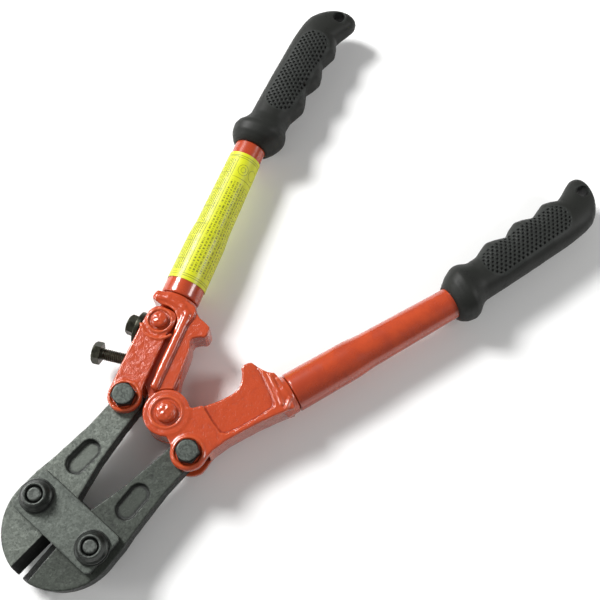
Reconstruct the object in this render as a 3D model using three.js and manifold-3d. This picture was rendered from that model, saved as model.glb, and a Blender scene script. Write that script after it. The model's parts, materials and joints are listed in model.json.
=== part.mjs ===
// Bolt cutters, 14 inch class: two forged jaws held by strap plates, a cast head, a steel tube and
// a rubber grip on each handle, and an adjusting link between the left handle and the left jaw.
//
// Frame, in millimetres: the tool lies flat on its back, +Z up. +Y runs along the line of symmetry
// from the jaws to the grips, +X is to the right. While it is being built the handle pivot is at
// the origin; the last lines move everything so that the origin is at the bottom centre.
import * as THREE from 'three';
import { mergeVertices } from 'three/addons/utils/BufferGeometryUtils.js';
import Module from 'manifold-3d';

const wasm = await Module();
wasm.setup();

// ---------------------------------------------------------------- driving dimensions
const DEG = Math.PI / 180;
const RUNNING_GAP = 0.3;            // between faces that touch or turn on each other
const SIDES = 20;                   // facets round a pin or a hole

// linkage
const PIVOT_ARM = 22.3;             // handle pivot to jaw bolt, on both handles
const HANDLE_ANGLE = 19 * DEG;      // each handle from the line of symmetry, as it lies
const JAW_OPEN = 2.04 * DEG;        // each jaw from its closed place, as it lies
const JAW_PIN = [18.1, -68.3];      // centre bolt of the right jaw; the left one mirrors it
const JAW_BOLT = [                  // where the right jaw bolt lies
  PIVOT_ARM * Math.cos(HANDLE_ANGLE), -PIVOT_ARM * Math.sin(HANDLE_ANGLE),
];

// layers, as heights above the middle plane
const JAW_HALF = 5.3;               // half thickness of jaws, tongue and rail
const SLOT_HALF = JAW_HALF + RUNNING_GAP;
const EAR_TOP = 9.4;                // outer faces of the ears and of the link
const BOSS_TOP = 10.4;              // raised rings round the pivots
const STRAP_TOP = 9.7;
const WASHER_TOP = 11.1;

// pins and bolts
const CENTER_BOLT_R = 4.2;          // M8
const CENTER_NUT = { base: 7.8, top: 5.4, height: 5 };
const CENTER_WASHER_R = 8.3;
const CENTER_HEAD = { acrossFlats: 15, height: 5 };
const JAW_BOLT_R = 3.1;             // M6
const JAW_HEAD = { acrossFlats: 10.6, top: 13.8 };
const JAW_NUT_END = -13.6;
const JAW_BOSS_R = 7.9;
const JAW_HEAD_ROOM_R = 6.5;
const HANDLE_RIVET_R = 4;
const HANDLE_RIVET_HEAD = { r: 4.9, under: 9.7, top: 13 };
const HANDLE_RIVET_ROOM_R = 5.5;
const LINK_RIVET_R = 3;
const LINK_RIVET_HEAD = { r: 4, under: BOSS_TOP + RUNNING_GAP, top: 12.8 };
const LINK_BOSS_R = 6.6;
const SCREW_R = 3;                  // M6 adjusting screw
const LOCK_BOLT_R = 2.5;            // M5 lock bolt
const LOCK_WASHER_R = 8.5;

// jaws, in the closed place
const JAW_ARC_CENTER = [0, -70.5];
const JAW_ARC_R = 28.5;
const EDGE_X = 0.12;                // cutting edge from the line of symmetry, jaws closed
const EDGE_LAND = 0.25;             // half height of the blunt strip on the edge
const BEVEL_WIDTH = 4.0;
const BEVEL_END = -73;
const TAIL_END_R = 7.4;
const TAIL_END_SHIFT = 1.6;         // the tail's round end sits this much inside the bolt
const OVAL = { x: 16.4, y: -41.2, length: 19, width: 10 };
const OVAL_DEPTH = { left: 2.6, right: 1.5 };
const FREE_SLOT = { r: 3.95, from: -0.1, to: 2.15 };   // left tail's hole round its bolt

// strap plates
const STRAP = { left: -25, right: 25, top: -56.7, bottom: -79, corner: 1.6 };

// handles, along the handle (a) and outward from it (b), from the handle pivot
const TUBE_B = 20;
const TUBE_START = 58;
const TUBE_RADII = [[0, 10.15], [92, 9.9], [100, 9.1], [146, 8.3], [400, 8.3]];   // place, radius
const GRIP_BORE_R = 8.6;
const TUBE_WALL = 1.8;
const BEND_START = 146;
const BEND_LENGTH = 30;
const BEND_ANGLE = 6.5 * DEG;
const TUBE_END = 222;
const SPIGOT_LENGTH = 22;
const LABEL = { from: 66, to: 144, gap: 0.06, wall: 0.25 };
const KNUCKLE_R = 11.5;
const BOSS_R = 8.2;
const EAR_R = 8.8;
const HANG_HOLE = { b: 4.2, a: 244.4, length: 6.8, width: 5.8 };

// adjusting link
const LINK_PIVOT_A = 41.5;
const LINK_R = [8.4, 7.8];          // at the jaw bolt, at the rivet
const LINK_WEB = { from: 12, to: 47, inside: 27.6, outside: 30.6 };
const RAIL_B = 20.5;                // the screw bears on this face of the head
const SCREW = { a: 20.4, tilt: 8, tip: 20.9, head: 44.6, headHeight: 4.3, acrossFlats: 10 };
const LOCK = { a: 36.5, tip: 24.6, washer: 30.9, head: 33.6, headHeight: 5, acrossFlats: 9.4 };
const RAIL_BLOCK_B = 27.1;          // the lock bolt is threaded into this block of the rail

// ---------------------------------------------------------------- solids
const toSolid = (geometry) => {
  const bare = geometry.clone();
  for (const name of ['normal', 'uv']) bare.deleteAttribute(name);
  const merged = mergeVertices(bare, 1e-4);
  return new wasm.Manifold(new wasm.Mesh({
    numProp: 3,
    vertProperties: new Float32Array(merged.attributes.position.array),
    triVerts: new Uint32Array(merged.index.array),
  }));
};

const toGeometry = (solid) => {
  const { vertProperties, triVerts, numProp } = solid.getMesh();
  const geometry = new THREE.BufferGeometry();
  const position = new Float32Array((vertProperties.length / numProp) * 3);
  for (let i = 0; i < position.length / 3; i += 1) {
    for (let k = 0; k < 3; k += 1) position[3 * i + k] = vertProperties[numProp * i + k];
  }
  geometry.setAttribute('position', new THREE.BufferAttribute(position, 3));
  geometry.setIndex(new THREE.BufferAttribute(new Uint32Array(triVerts), 1));
  geometry.computeVertexNormals();
  return geometry;
};

const join = (first, ...rest) => rest.reduce((sum, solid) => sum.add(solid), first);
const cut = (first, ...rest) => rest.reduce((sum, solid) => sum.subtract(solid), first);

// A flat outline given height from z0 to z1.
const plate = (shape, z0, z1, curveSegments = 12) => {
  const geometry = new THREE.ExtrudeGeometry(shape, {
    depth: z1 - z0, bevelEnabled: false, curveSegments,
  });
  return toSolid(geometry.translate(0, 0, z0));
};

const shapeOf = (points) => new THREE.Shape(points.map(([x, y]) => new THREE.Vector2(x, y)));

// A round pin, disc or hole standing on the middle plane's axis at (x, y).
const pin = (x, y, radius, z0, z1, sides = SIDES) => toSolid(
  new THREE.CylinderGeometry(radius, radius, z1 - z0, sides)
    .rotateX(Math.PI / 2)
    .translate(x, y, (z0 + z1) / 2),
);

// A body turned about the Z axis through (x, y) from pairs of radius and height.
const turned = (x, y, profile, sides = SIDES) => toSolid(
  new THREE.LatheGeometry(profile.map(([r, z]) => new THREE.Vector2(r, z)), sides)
    .rotateX(Math.PI / 2)
    .translate(x, y, 0),
);

// The outline that a belt round two discs takes.
const beltShape = ([x0, y0], r0, [x1, y1], r1) => {
  const dx = x1 - x0;
  const dy = y1 - y0;
  const along = Math.atan2(dy, dx);
  const side = Math.acos((r0 - r1) / Math.hypot(dx, dy));
  const shape = new THREE.Shape();
  shape.absarc(x0, y0, r0, along + side, along + 2 * Math.PI - side, false);
  shape.absarc(x1, y1, r1, along - side, along + side, false);
  return shape;
};

// A stack of rings, each a list of points, closed at both ends by a fan.
const stack = (rings) => {
  const n = rings[0].length;
  const points = rings.flat();
  const index = [];
  for (let i = 0; i + 1 < rings.length; i += 1) {
    for (let j = 0; j < n; j += 1) {
      const [p, q] = [i * n + j, i * n + ((j + 1) % n)];
      index.push(p, q, p + n, q, q + n, p + n);
    }
  }
  for (const [ring, turn] of [[0, false], [rings.length - 1, true]]) {
    const middle = rings[ring].reduce((sum, p) => sum.clone().add(p)).divideScalar(n);
    points.push(middle);
    for (let j = 0; j < n; j += 1) {
      const edge = [ring * n + j, ring * n + ((j + 1) % n)];
      index.push(points.length - 1, ...(turn ? edge : edge.reverse()));
    }
  }
  const geometry = new THREE.BufferGeometry().setFromPoints(points).setIndex(index);
  const solid = toSolid(geometry);
  return solid.volume() > 0 ? solid : toSolid(flipped(geometry));
};

const flipped = (geometry) => {
  const index = Array.from(geometry.index.array);
  for (let i = 0; i < index.length; i += 3) [index[i], index[i + 1]] = [index[i + 1], index[i]];
  return geometry.clone().setIndex(index);
};

// ---------------------------------------------------------------- finishes and the tree
const finish = (name, color, roughness, metalness) => {
  const material = new THREE.MeshStandardMaterial({ color, roughness, metalness });
  material.name = name;
  return material;
};
const PAINT = finish('red_paint', 0xc8472a, 0.3, 0);
const FORGED = finish('phosphated_steel', 0x5f655e, 0.55, 0.6);
const BOLT_STEEL = finish('blackened_steel', 0x3a3e3a, 0.4, 0.8);
const RUBBER = finish('black_rubber', 0x1c1e1d, 0.6, 0);
const LABEL_FILM = finish('label_film', 0xd8e02c, 0.35, 0);

const tool = new THREE.Group();

const addPiece = (group, name, solid, material) => {
  const mesh = new THREE.Mesh(toGeometry(solid), material);
  mesh.name = name;
  group.add(mesh);
};

// ---------------------------------------------------------------- straps, centre bolts, jaws
function strapShape() {
  const { left, right, top, bottom, corner: c } = STRAP;
  return shapeOf([
    [left + c, bottom], [right - c, bottom], [right, bottom + c], [right, top - c],
    [right - c, top], [left + c, top], [left, top - c], [left, bottom + c],
  ]);
}

function strapPlate(z0, z1) {
  const bore = CENTER_BOLT_R + RUNNING_GAP;
  const holes = [-1, 1].map((s) => pin(s * JAW_PIN[0], JAW_PIN[1], bore, z0 - 1, z1 + 1));
  return cut(plate(strapShape(), z0, z1), ...holes);
}

function hexPrism(acrossFlats, z0, z1, x, y) {
  const corner = acrossFlats / Math.sqrt(3);
  const chamfer = 0.7;
  const body = pin(x, y, corner, z0, z1, 6);
  const round = turned(x, y, [
    [0, z0], [corner - chamfer, z0], [corner + 0.05, z0 + 0.5 * chamfer],
    [corner + 0.05, z1 - 0.5 * chamfer], [corner - chamfer, z1], [0, z1],
  ]);
  return body.intersect(round);
}

function centerBolt(x, y) {
  const shank = turned(x, y, [
    [0, -STRAP_TOP - 1], [CENTER_BOLT_R, -STRAP_TOP - 1], [CENTER_BOLT_R, WASHER_TOP + 4.6],
    [CENTER_BOLT_R - 0.8, WASHER_TOP + 5.1], [0, WASHER_TOP + 5.3],
  ]);
  const { acrossFlats, height } = CENTER_HEAD;
  const under = -STRAP_TOP - RUNNING_GAP;
  return join(shank, hexPrism(acrossFlats, under - height, under, x, y));
}

// A washer from z0 to z1, and the cone-shaped nut that stands on it.
const centerWasher = (x, y, z0, z1) => turned(x, y, [
  [CENTER_BOLT_R + RUNNING_GAP, z0], [CENTER_WASHER_R, z0], [CENTER_WASHER_R, z1],
  [CENTER_BOLT_R + RUNNING_GAP, z1], [CENTER_BOLT_R + RUNNING_GAP, z0],
]);

function centerNut(x, y, z0) {
  const { base, top, height } = CENTER_NUT;
  const bore = CENTER_BOLT_R + RUNNING_GAP;
  return turned(x, y, [
    [bore, z0], [base, z0], [base, z0 + 1], [top, z0 + height - 0.6], [top - 0.3, z0 + height],
    [bore, z0 + height], [bore, z0],
  ]);
}

for (const [side, s] of [['left', -1], ['right', 1]]) {
  const x = s * JAW_PIN[0];
  const y = JAW_PIN[1];
  addPiece(tool, `center_bolt_${side}`, centerBolt(x, y), BOLT_STEEL);
  const washer = centerWasher(x, y, STRAP_TOP + RUNNING_GAP, WASHER_TOP);
  addPiece(tool, `center_washer_${side}`, washer, BOLT_STEEL);
  addPiece(tool, `center_nut_${side}`, centerNut(x, y, WASHER_TOP + RUNNING_GAP), BOLT_STEEL);
}
addPiece(tool, 'front_strap_plate', strapPlate(SLOT_HALF, STRAP_TOP), FORGED);
addPiece(tool, 'rear_strap_plate', strapPlate(-STRAP_TOP, -SLOT_HALF), FORGED);

// Turns a point of the jaw as it lies back to its closed place, about the jaw's centre bolt.
function closedPoint([x, y]) {
  const [dx, dy] = [x - JAW_PIN[0], y - JAW_PIN[1]];
  const [c, s] = [Math.cos(-JAW_OPEN), Math.sin(-JAW_OPEN)];
  return [JAW_PIN[0] + c * dx - s * dy, JAW_PIN[1] + s * dx + c * dy];
}

// Outline of the right jaw in its closed place: tail, inner edge, cutting edge, round nose.
function jawShape(s) {
  const tail = closedPoint([JAW_BOLT[0] - TAIL_END_SHIFT, JAW_BOLT[1]]);
  const inner = [[10.9, -20], [8.4, -38.6], [4.4, -56], [1.6, -63]].map(closedPoint);
  const outer = [[28.1, -60], [26.9, -52], [26.0, -41], [25.0, -28], [25.2, -14]].map(closedPoint);
  const shape = new THREE.Shape();
  const noseStart = Math.asin(EDGE_X / JAW_ARC_R);
  shape.moveTo(s * tail[0], tail[1] + TAIL_END_R);
  const arc = (center, radius, from, to, steps) => {
    for (let i = 0; i <= steps; i += 1) {
      const t = from + ((to - from) * i) / steps;
      shape.lineTo(s * (center[0] + radius * Math.sin(t)), center[1] + radius * Math.cos(t));
    }
  };
  arc(tail, TAIL_END_R, -0.1, -Math.PI * 0.45, 6);
  inner.forEach(([x, y]) => shape.lineTo(s * x, y));
  shape.lineTo(s * 0.45, JAW_PIN[1]);
  shape.lineTo(s * EDGE_X, BEVEL_END);
  arc(JAW_ARC_CENTER, JAW_ARC_R, Math.PI - noseStart, Math.PI / 2 - 0.1, 20);
  outer.forEach(([x, y]) => shape.lineTo(s * x, y));
  arc(tail, TAIL_END_R, Math.PI * 0.42, 0.1, 6);
  return shape;
}

// The two wedges that grind the cutting edge, one above and one below the middle plane.
function bevelWedge(s, side) {
  const slope = BEVEL_WIDTH / (JAW_HALF - EDGE_LAND);
  const over = 2;
  const section = shapeOf([
    [s * EDGE_X, side * EDGE_LAND],
    [s * (EDGE_X + BEVEL_WIDTH + over * slope), side * (JAW_HALF + over)],
    [-s * over, side * (JAW_HALF + over)],
    [-s * over, side * EDGE_LAND],
  ]);
  const geometry = new THREE.ExtrudeGeometry(section, { depth: 30, bevelEnabled: false });
  geometry.rotateX(Math.PI / 2).translate(0, BEVEL_END, 0);
  return toSolid(geometry);
}

function ovalPocket(s, side, depth) {
  const [x, y] = closedPoint([OVAL.x, OVAL.y]);
  const r = OVAL.width / 2;
  const reach = OVAL.length / 2 - r;
  const z = [JAW_HALF - depth, JAW_HALF + 1].map((value) => side * value).sort((p, q) => p - q);
  return plate(beltShape([s * x, y - reach], r, [s * x, y + reach], r), ...z);
}

function jaw(s, depth) {
  const boltAt = closedPoint(JAW_BOLT);
  const body = plate(jawShape(s), -JAW_HALF, JAW_HALF);
  const holes = [pin(s * JAW_PIN[0], JAW_PIN[1], CENTER_BOLT_R + RUNNING_GAP, -9, 9)];
  if (s > 0) {
    holes.push(pin(boltAt[0], boltAt[1], JAW_BOLT_R + RUNNING_GAP, -9, 9));
  } else {
    const { r, from, to } = FREE_SLOT;
    const ends = [from, to].map((shift) => [-boltAt[0] + shift, boltAt[1]]);
    holes.push(plate(beltShape(ends[0], r, ends[1], r), -9, 9));
  }
  const ground = [-1, 1].flatMap((side) => [bevelWedge(s, side), ovalPocket(s, side, depth)]);
  return cut(body, ...holes, ...ground);
}

for (const [side, s] of [['left', -1], ['right', 1]]) {
  const pivot = new THREE.Group();
  pivot.position.set(s * JAW_PIN[0], JAW_PIN[1], 0);
  pivot.rotation.z = s * JAW_OPEN;
  const centred = jaw(s, OVAL_DEPTH[side]).translate([-s * JAW_PIN[0], -JAW_PIN[1], 0]);
  addPiece(pivot, `${side}_jaw`, centred, FORGED);
  tool.add(pivot);
}

// ---------------------------------------------------------------- handles
// Everything on a handle is drawn with x outward and y along the handle; s is 1 on the right
// handle and -1 on the left one, which mirrors x.
const outline = (s, points) => shapeOf(points.map(([b, a]) => [s * b, a]));

// The tube's axis: straight, then an arc inward under the grip's collar, then straight again.
function tubeAxis(distance) {
  const bent = Math.max(0, distance - BEND_START);
  const turn = BEND_ANGLE * Math.min(1, bent / BEND_LENGTH);
  const radius = BEND_LENGTH / BEND_ANGLE;
  const rest = Math.max(0, bent - BEND_LENGTH);
  return {
    b: TUBE_B - radius * (1 - Math.cos(turn)) - rest * Math.sin(turn),
    a: Math.min(distance, BEND_START) + radius * Math.sin(turn) + rest * Math.cos(turn),
    turn,
  };
}

// Radius of the tube, which is widest at the head, necks down past it and then tapers to the grip.
function tubeRadius(distance) {
  const next = TUBE_RADII.findIndex(([place]) => place > distance);
  const [[from, wide], [to, narrow]] = TUBE_RADII.slice(next - 1, next + 1);
  return wide + ((narrow - wide) * (distance - from)) / (to - from);
}
const NECK = TUBE_RADII.slice(1, 3).map(([place]) => place);

// A round bar along the tube's axis, with the radius that radiusAt gives.
function barAlongAxis(s, distances, radiusAt) {
  return stack(distances.map((distance) => {
    const { b, a, turn } = tubeAxis(distance);
    const radius = radiusAt(distance);
    return Array.from({ length: SIDES }, (_, j) => {
      const angle = (2 * Math.PI * j) / SIDES;
      const out = radius * Math.cos(angle);
      const across = s * (b + out * Math.cos(turn));
      return new THREE.Vector3(across, a + out * Math.sin(turn), radius * Math.sin(angle));
    });
  }));
}

const steps = (from, to, count) => Array.from(
  { length: count + 1 },
  (_, i) => from + ((to - from) * i) / count,
);

function handleTube(s) {
  const bends = steps(BEND_START, BEND_START + BEND_LENGTH, 3);
  const outside = barAlongAxis(s, [TUBE_START, ...NECK, ...bends, TUBE_END], tubeRadius);
  const inside = barAlongAxis(s, [TUBE_START - 1, ...NECK, ...bends, TUBE_END + 1],
    (distance) => tubeRadius(distance) - TUBE_WALL);
  return cut(outside, inside);
}

function tubeLabel(s) {
  const along = [LABEL.from, ...NECK, LABEL.to];
  const outside = barAlongAxis(s, along, (d) => tubeRadius(d) + LABEL.gap + LABEL.wall);
  const inside = barAlongAxis(s, [LABEL.from - 1, ...NECK, LABEL.to + 1],
    (d) => tubeRadius(d) + LABEL.gap);
  return cut(outside, inside);
}

// Rows of the grip: place along the handle, inner edge, outer edge, half thickness.
const GRIP_ROWS = [
  [151.5, 10.8, 29.2, 9.4], [153, 9.6, 30.8, 11.4], [156, 7.2, 32.4, 13.3], [160, 5, 33, 14.2],
  [162.5, 4.4, 32.2, 13.9], [165, 4.8, 30, 12.6], [167.5, 6, 28.3, 11.7], [170, 6.6, 27.5, 11.2],
  [176, 6, 27.2, 11], [180.5, 3.8, 27, 10.9], [184.5, 2, 26.8, 10.9], [188.5, 2.6, 26.5, 10.8],
  [195.5, 4.6, 26.1, 10.6], [200, 1.6, 25.8, 10.4], [204, -0.2, 25.6, 10.3],
  [208, 0.4, 25.2, 10.1], [214, 2.4, 24.8, 9.9], [219, 0.2, 24.5, 9.6], [223, -1.6, 24.2, 9.4],
  [227, -0.8, 23.7, 9.1], [231.5, 0.8, 23, 8.8], [236, -1.2, 22.2, 8.3],
  [240.5, -3.8, 20.7, 7.8], [244, -5.4, 18, 7.3], [246.7, -5.2, 14.6, 6.7],
  [248.8, -3.8, 10.8, 5.8], [250.2, 0.4, 5, 4.2],
];

function grip(s) {
  const squareness = 0.86;
  const rings = GRIP_ROWS.map(([a, inner, outer, half]) => Array.from({ length: SIDES }, (_, j) => {
    const angle = (2 * Math.PI * j) / SIDES;
    const [c, t] = [Math.cos(angle), Math.sin(angle)];
    const soften = (value) => Math.sign(value) * Math.abs(value) ** squareness;
    const b = (inner + outer) / 2 + ((outer - inner) / 2) * soften(c);
    return new THREE.Vector3(s * b, a, half * soften(t));
  }));
  const bore = barAlongAxis(s, [140, ...steps(BEND_START, BEND_START + BEND_LENGTH, 3), TUBE_END + 1],
    () => GRIP_BORE_R);
  const { b, a, length, width } = HANG_HOLE;
  const reach = (length - width) / 2;
  const hole = plate(beltShape([s * b, a - reach], width / 2, [s * b, a + reach], width / 2), -12, 12);
  return cut(stack(rings), bore, hole);
}

const spigot = (s, from) => barAlongAxis(s, [from, TUBE_START + SPIGOT_LENGTH],
  (distance) => tubeRadius(distance) - TUBE_WALL - RUNNING_GAP);

// Root of a head where the tube stands on it: a short round collar under the tube's end.
const tubeSeat = (s) => barAlongAxis(s, [52.5, TUBE_START - RUNNING_GAP],
  () => tubeRadius(TUBE_START) - 0.2);

// The stop lug and inner edge that both heads share, from the tube down to the knuckle.
const INNER_EDGE = [
  [9.8, 56], [6, 51], [0.5, 49], [-2.5, 47.6], [-2.5, 42.2], [1.0, 41.2], [4.5, 38.6],
];

// A raised ring, on both faces, round the pivot at (x, y).
const boss = (x, y, radius) => turned(x, y, [
  [0, -BOSS_TOP], [radius - 0.7, -BOSS_TOP], [radius, -EAR_TOP + 0.2],
  [radius, EAR_TOP - 0.2], [radius - 0.7, BOSS_TOP], [0, BOSS_TOP],
]);

// The room in a jaw bolt's ring for the bolt, its head and its nut.
const jawBoltRoom = (x, y) => [
  pin(x, y, JAW_HEAD_ROOM_R, EAR_TOP, 12), pin(x, y, JAW_HEAD_ROOM_R, -12, -EAR_TOP),
  pin(x, y, JAW_BOLT_R + RUNNING_GAP, -12, 12),
];

function rightHead() {
  const s = 1;
  const arm = outline(s, [
    ...INNER_EDGE, [7.2, 35], [7.6, 29], [6.6, 20], [4.2, 12], [0, 0],
    [8, -8.0], [9.5, -5.2], [13, -5.6], [22, -6], [31.1, -0.5], [30, 3], [26.6, 13], [26.6, 33],
    [28.2, 50], [29.6, 56],
  ]);
  const body = join(
    plate(arm, -EAR_TOP, EAR_TOP),
    pin(0, 0, KNUCKLE_R, -EAR_TOP, EAR_TOP),
    pin(PIVOT_ARM, 0, EAR_R, -EAR_TOP, EAR_TOP),
    boss(0, 0, BOSS_R),
    boss(PIVOT_ARM, 0, JAW_BOSS_R),
    tubeSeat(s),
    spigot(s, 50),
  );
  const fork = [
    plate(outline(s, [[-20, -20], [40, -20], [40, 4], [-20, 4]]), -SLOT_HALF, SLOT_HALF),
    pin(0, 0, KNUCKLE_R + 0.4, -SLOT_HALF, SLOT_HALF),
    pin(PIVOT_ARM, 0, 9.6, -SLOT_HALF, SLOT_HALF),
  ];
  const pocket = outline(s, [
    [-8, 16.9], [-8, 49.8], [6, 49.3], [20.7, 47.8], [24.1, 45.8], [24.1, 20.6], [20.8, 16.9],
  ]);
  const recessDepth = 1.8;
  return cut(body, ...fork,
    plate(pocket, EAR_TOP - recessDepth, 12), plate(pocket, -12, -EAR_TOP + recessDepth),
    pin(0, 0, HANDLE_RIVET_ROOM_R, EAR_TOP, 12), pin(0, 0, HANDLE_RIVET_ROOM_R, -12, -EAR_TOP),
    pin(0, 0, HANDLE_RIVET_R + RUNNING_GAP, -12, 12),
    ...jawBoltRoom(PIVOT_ARM, 0));
}

function leftHead() {
  const s = -1;
  const arm = outline(s, [
    ...INNER_EDGE, [2.4, 33], [2.1, 22], [1.8, 12], [3, 8], [13.4, 8], [13.2, 48], [30.6, 50.4],
    [31.2, 53], [29.6, 57],
  ]);
  const rail = outline(s, [
    [3, 0], [10.5, 2], [16, 9.6], [RAIL_B, 12.5], [RAIL_B, 28], [RAIL_BLOCK_B, 31.5],
    [RAIL_BLOCK_B, 46], [26, 52], [8, 52], [2.4, 33], [2, 20], [-2, 8],
  ]);
  const full = cut(
    plate(arm, -EAR_TOP, EAR_TOP),
    pin(0, 0, KNUCKLE_R + 0.5, -12, 12),
    pin(s * PIVOT_ARM, LINK_PIVOT_A, LINK_R[1] + 0.6, -12, 12),
  );
  const ribShape = beltShape([s * 11, 15.5], 1.6, [s * 11, 47], 1.6);
  const body = join(
    full,
    plate(rail, -JAW_HALF, JAW_HALF),
    pin(0, 0, KNUCKLE_R, -JAW_HALF, JAW_HALF),
    plate(ribShape, -EAR_TOP - 0.8, EAR_TOP + 0.8),
    tubeSeat(s),
    spigot(s, 50),
  );
  const lockHole = crossBar(LOCK_BOLT_R + RUNNING_GAP, LOCK.tip - RUNNING_GAP, LOCK.tip + 8)
    .translate([0, LOCK.a, 0]);
  return cut(body,
    lockHole,
    pin(0, 0, HANDLE_RIVET_R + RUNNING_GAP, -12, 12),
    pin(s * PIVOT_ARM, LINK_PIVOT_A, LINK_RIVET_R + RUNNING_GAP, -12, 12));
}

// A rivet with a low dome at both ends, which stand on a short round edge.
function rivet(x, y, shankR, { r, under, top }) {
  const edge = 0.8;
  const domeR = (t) => r * Math.cos(t) ** 0.7;
  const domeZ = (t) => under + edge + (top - under - edge) * Math.sin(t);
  const dome = steps(0, Math.PI / 2, 3).map((t) => [domeR(t), domeZ(t)]);
  dome[dome.length - 1][0] = 0;
  const upper = [[shankR, 0], [shankR, under], [r, under], ...dome];
  const lower = upper.map(([r, z]) => [r, -z]).reverse();
  return turned(x, y, [...lower.slice(0, -1), ...upper.slice(1)]);
}

function jawBolt(x, y) {
  const { acrossFlats, top } = JAW_HEAD;
  return join(
    pin(x, y, JAW_BOLT_R, -14, EAR_TOP + 1),
    hexPrism(acrossFlats, EAR_TOP + RUNNING_GAP, top, x, y),
  );
}

function jawNut(x, y) {
  const body = hexPrism(JAW_HEAD.acrossFlats, JAW_NUT_END, -EAR_TOP - RUNNING_GAP, x, y);
  return cut(body, pin(x, y, JAW_BOLT_R + RUNNING_GAP, -16, 0));
}

// A round bar along x from one b to another, on the left handle.
const crossBar = (radius, from, to) => toSolid(
  new THREE.CylinderGeometry(radius, radius, to - from, SIDES)
    .rotateZ(Math.PI / 2)
    .translate(-(from + to) / 2, 0, 0),
);

function adjustingLink() {
  const s = -1;
  const [jawEnd, rivetEnd] = [[s * PIVOT_ARM, 0], [s * PIVOT_ARM, LINK_PIVOT_A]];
  const sides = plate(beltShape(jawEnd, LINK_R[0], rivetEnd, LINK_R[1]), -EAR_TOP, EAR_TOP);
  const { from, to, inside, outside } = LINK_WEB;
  const webOutline = outline(s, [
    [inside, from], [outside, from], [outside, to - 9], [outside - 1.2, to - 3], [inside, to],
  ]);
  const channelOutline = outline(s, [
    [0, -20], [40, -20], [40, from], [inside, from], [inside, 60], [0, 60],
  ]);
  const web = plate(webOutline, -EAR_TOP, EAR_TOP);
  const channel = plate(channelOutline, -SLOT_HALF, SLOT_HALF);
  const screwHole = alongScrew(crossBar(SCREW_R + RUNNING_GAP, 12, 52));
  const lockHole = crossBar(LOCK_BOLT_R + 0.6, 15, 55).translate([0, LOCK.a, 0]);
  const body = join(sides, web, boss(...rivetEnd, LINK_BOSS_R), boss(...jawEnd, JAW_BOSS_R));
  return cut(body, channel, screwHole, lockHole,
    ...jawBoltRoom(...jawEnd),
    pin(...rivetEnd, LINK_RIVET_R + RUNNING_GAP, -12, 12));
}

// The adjusting screw and its hole are drawn along x and then carried to their place: up the
// handle to SCREW.a, and tilted about the point where the screw meets the rail.
function alongScrew(solid) {
  return solid.translate([SCREW.tip, 0, 0]).rotate([0, 0, SCREW.tilt])
    .translate([-SCREW.tip, SCREW.a, 0]);
}

// A hexagon-headed bolt lying along x on the left handle, its head outward.
function crossBolt(radius, { tip, head, headHeight, acrossFlats }) {
  const hexagon = hexPrism(acrossFlats, 0, headHeight, 0, 0);
  return join(
    crossBar(radius, tip, head + 1),
    hexagon.rotate([0, -90, 0]).translate([-head, 0, 0]),
  );
}

function lockWasher() {
  const [from, to] = [LOCK.washer, LOCK.head - RUNNING_GAP];
  return cut(crossBar(LOCK_WASHER_R, from, to), crossBar(LOCK_BOLT_R + RUNNING_GAP, from - 1, to + 1));
}

const rightHandle = new THREE.Group();
rightHandle.rotation.z = -HANDLE_ANGLE;
addPiece(rightHandle, 'right_handle_head', rightHead(), PAINT);
addPiece(rightHandle, 'right_handle_tube', handleTube(1), PAINT);
addPiece(rightHandle, 'right_grip', grip(1), RUBBER);
addPiece(rightHandle, 'pivot_rivet', rivet(0, 0, HANDLE_RIVET_R, HANDLE_RIVET_HEAD), PAINT);
addPiece(rightHandle, 'right_jaw_bolt', jawBolt(PIVOT_ARM, 0), BOLT_STEEL);
addPiece(rightHandle, 'right_jaw_nut', jawNut(PIVOT_ARM, 0), BOLT_STEEL);
tool.add(rightHandle);

const leftHandle = new THREE.Group();
leftHandle.rotation.z = HANDLE_ANGLE;
addPiece(leftHandle, 'left_handle_head', leftHead(), PAINT);
addPiece(leftHandle, 'left_handle_tube', handleTube(-1), PAINT);
addPiece(leftHandle, 'left_grip', grip(-1), RUBBER);
addPiece(leftHandle, 'tube_label', tubeLabel(-1), LABEL_FILM);
addPiece(leftHandle, 'adjusting_link', adjustingLink(), PAINT);
addPiece(leftHandle, 'link_rivet',
  rivet(-PIVOT_ARM, LINK_PIVOT_A, LINK_RIVET_R, LINK_RIVET_HEAD), PAINT);
addPiece(leftHandle, 'left_jaw_bolt', jawBolt(-PIVOT_ARM, 0), BOLT_STEEL);
addPiece(leftHandle, 'left_jaw_nut', jawNut(-PIVOT_ARM, 0), BOLT_STEEL);
addPiece(leftHandle, 'adjusting_screw', alongScrew(crossBolt(SCREW_R, SCREW)), BOLT_STEEL);
addPiece(leftHandle, 'lock_bolt',
  crossBolt(LOCK_BOLT_R, LOCK).translate([0, LOCK.a, 0]), BOLT_STEEL);
addPiece(leftHandle, 'lock_washer', lockWasher().translate([0, LOCK.a, 0]), BOLT_STEEL);
tool.add(leftHandle);

// The origin goes to the middle of the box that holds the tool, at the level of its lowest face.
tool.updateMatrixWorld(true);
const extent = new THREE.Box3().setFromObject(tool, true);
const middle = extent.getCenter(new THREE.Vector3());
tool.position.set(-middle.x, -middle.y, -extent.min.z);

export default tool;
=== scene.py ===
"""Bolt cutters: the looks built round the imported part.

Shapes are worked out in millimetres and put into the meshes in metres. A handle's own
coordinates are b, outward from the handle pivot, a, along the handle towards the grip, and z,
up from the middle plane of the tool. The castings, forgings and grips are distance fields: a
function that is negative inside the piece. The turned parts are profiles carried round an axis.
"""
import json
import math

import bmesh
import bpy
import numpy as np
from mathutils import Matrix, Vector


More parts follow.
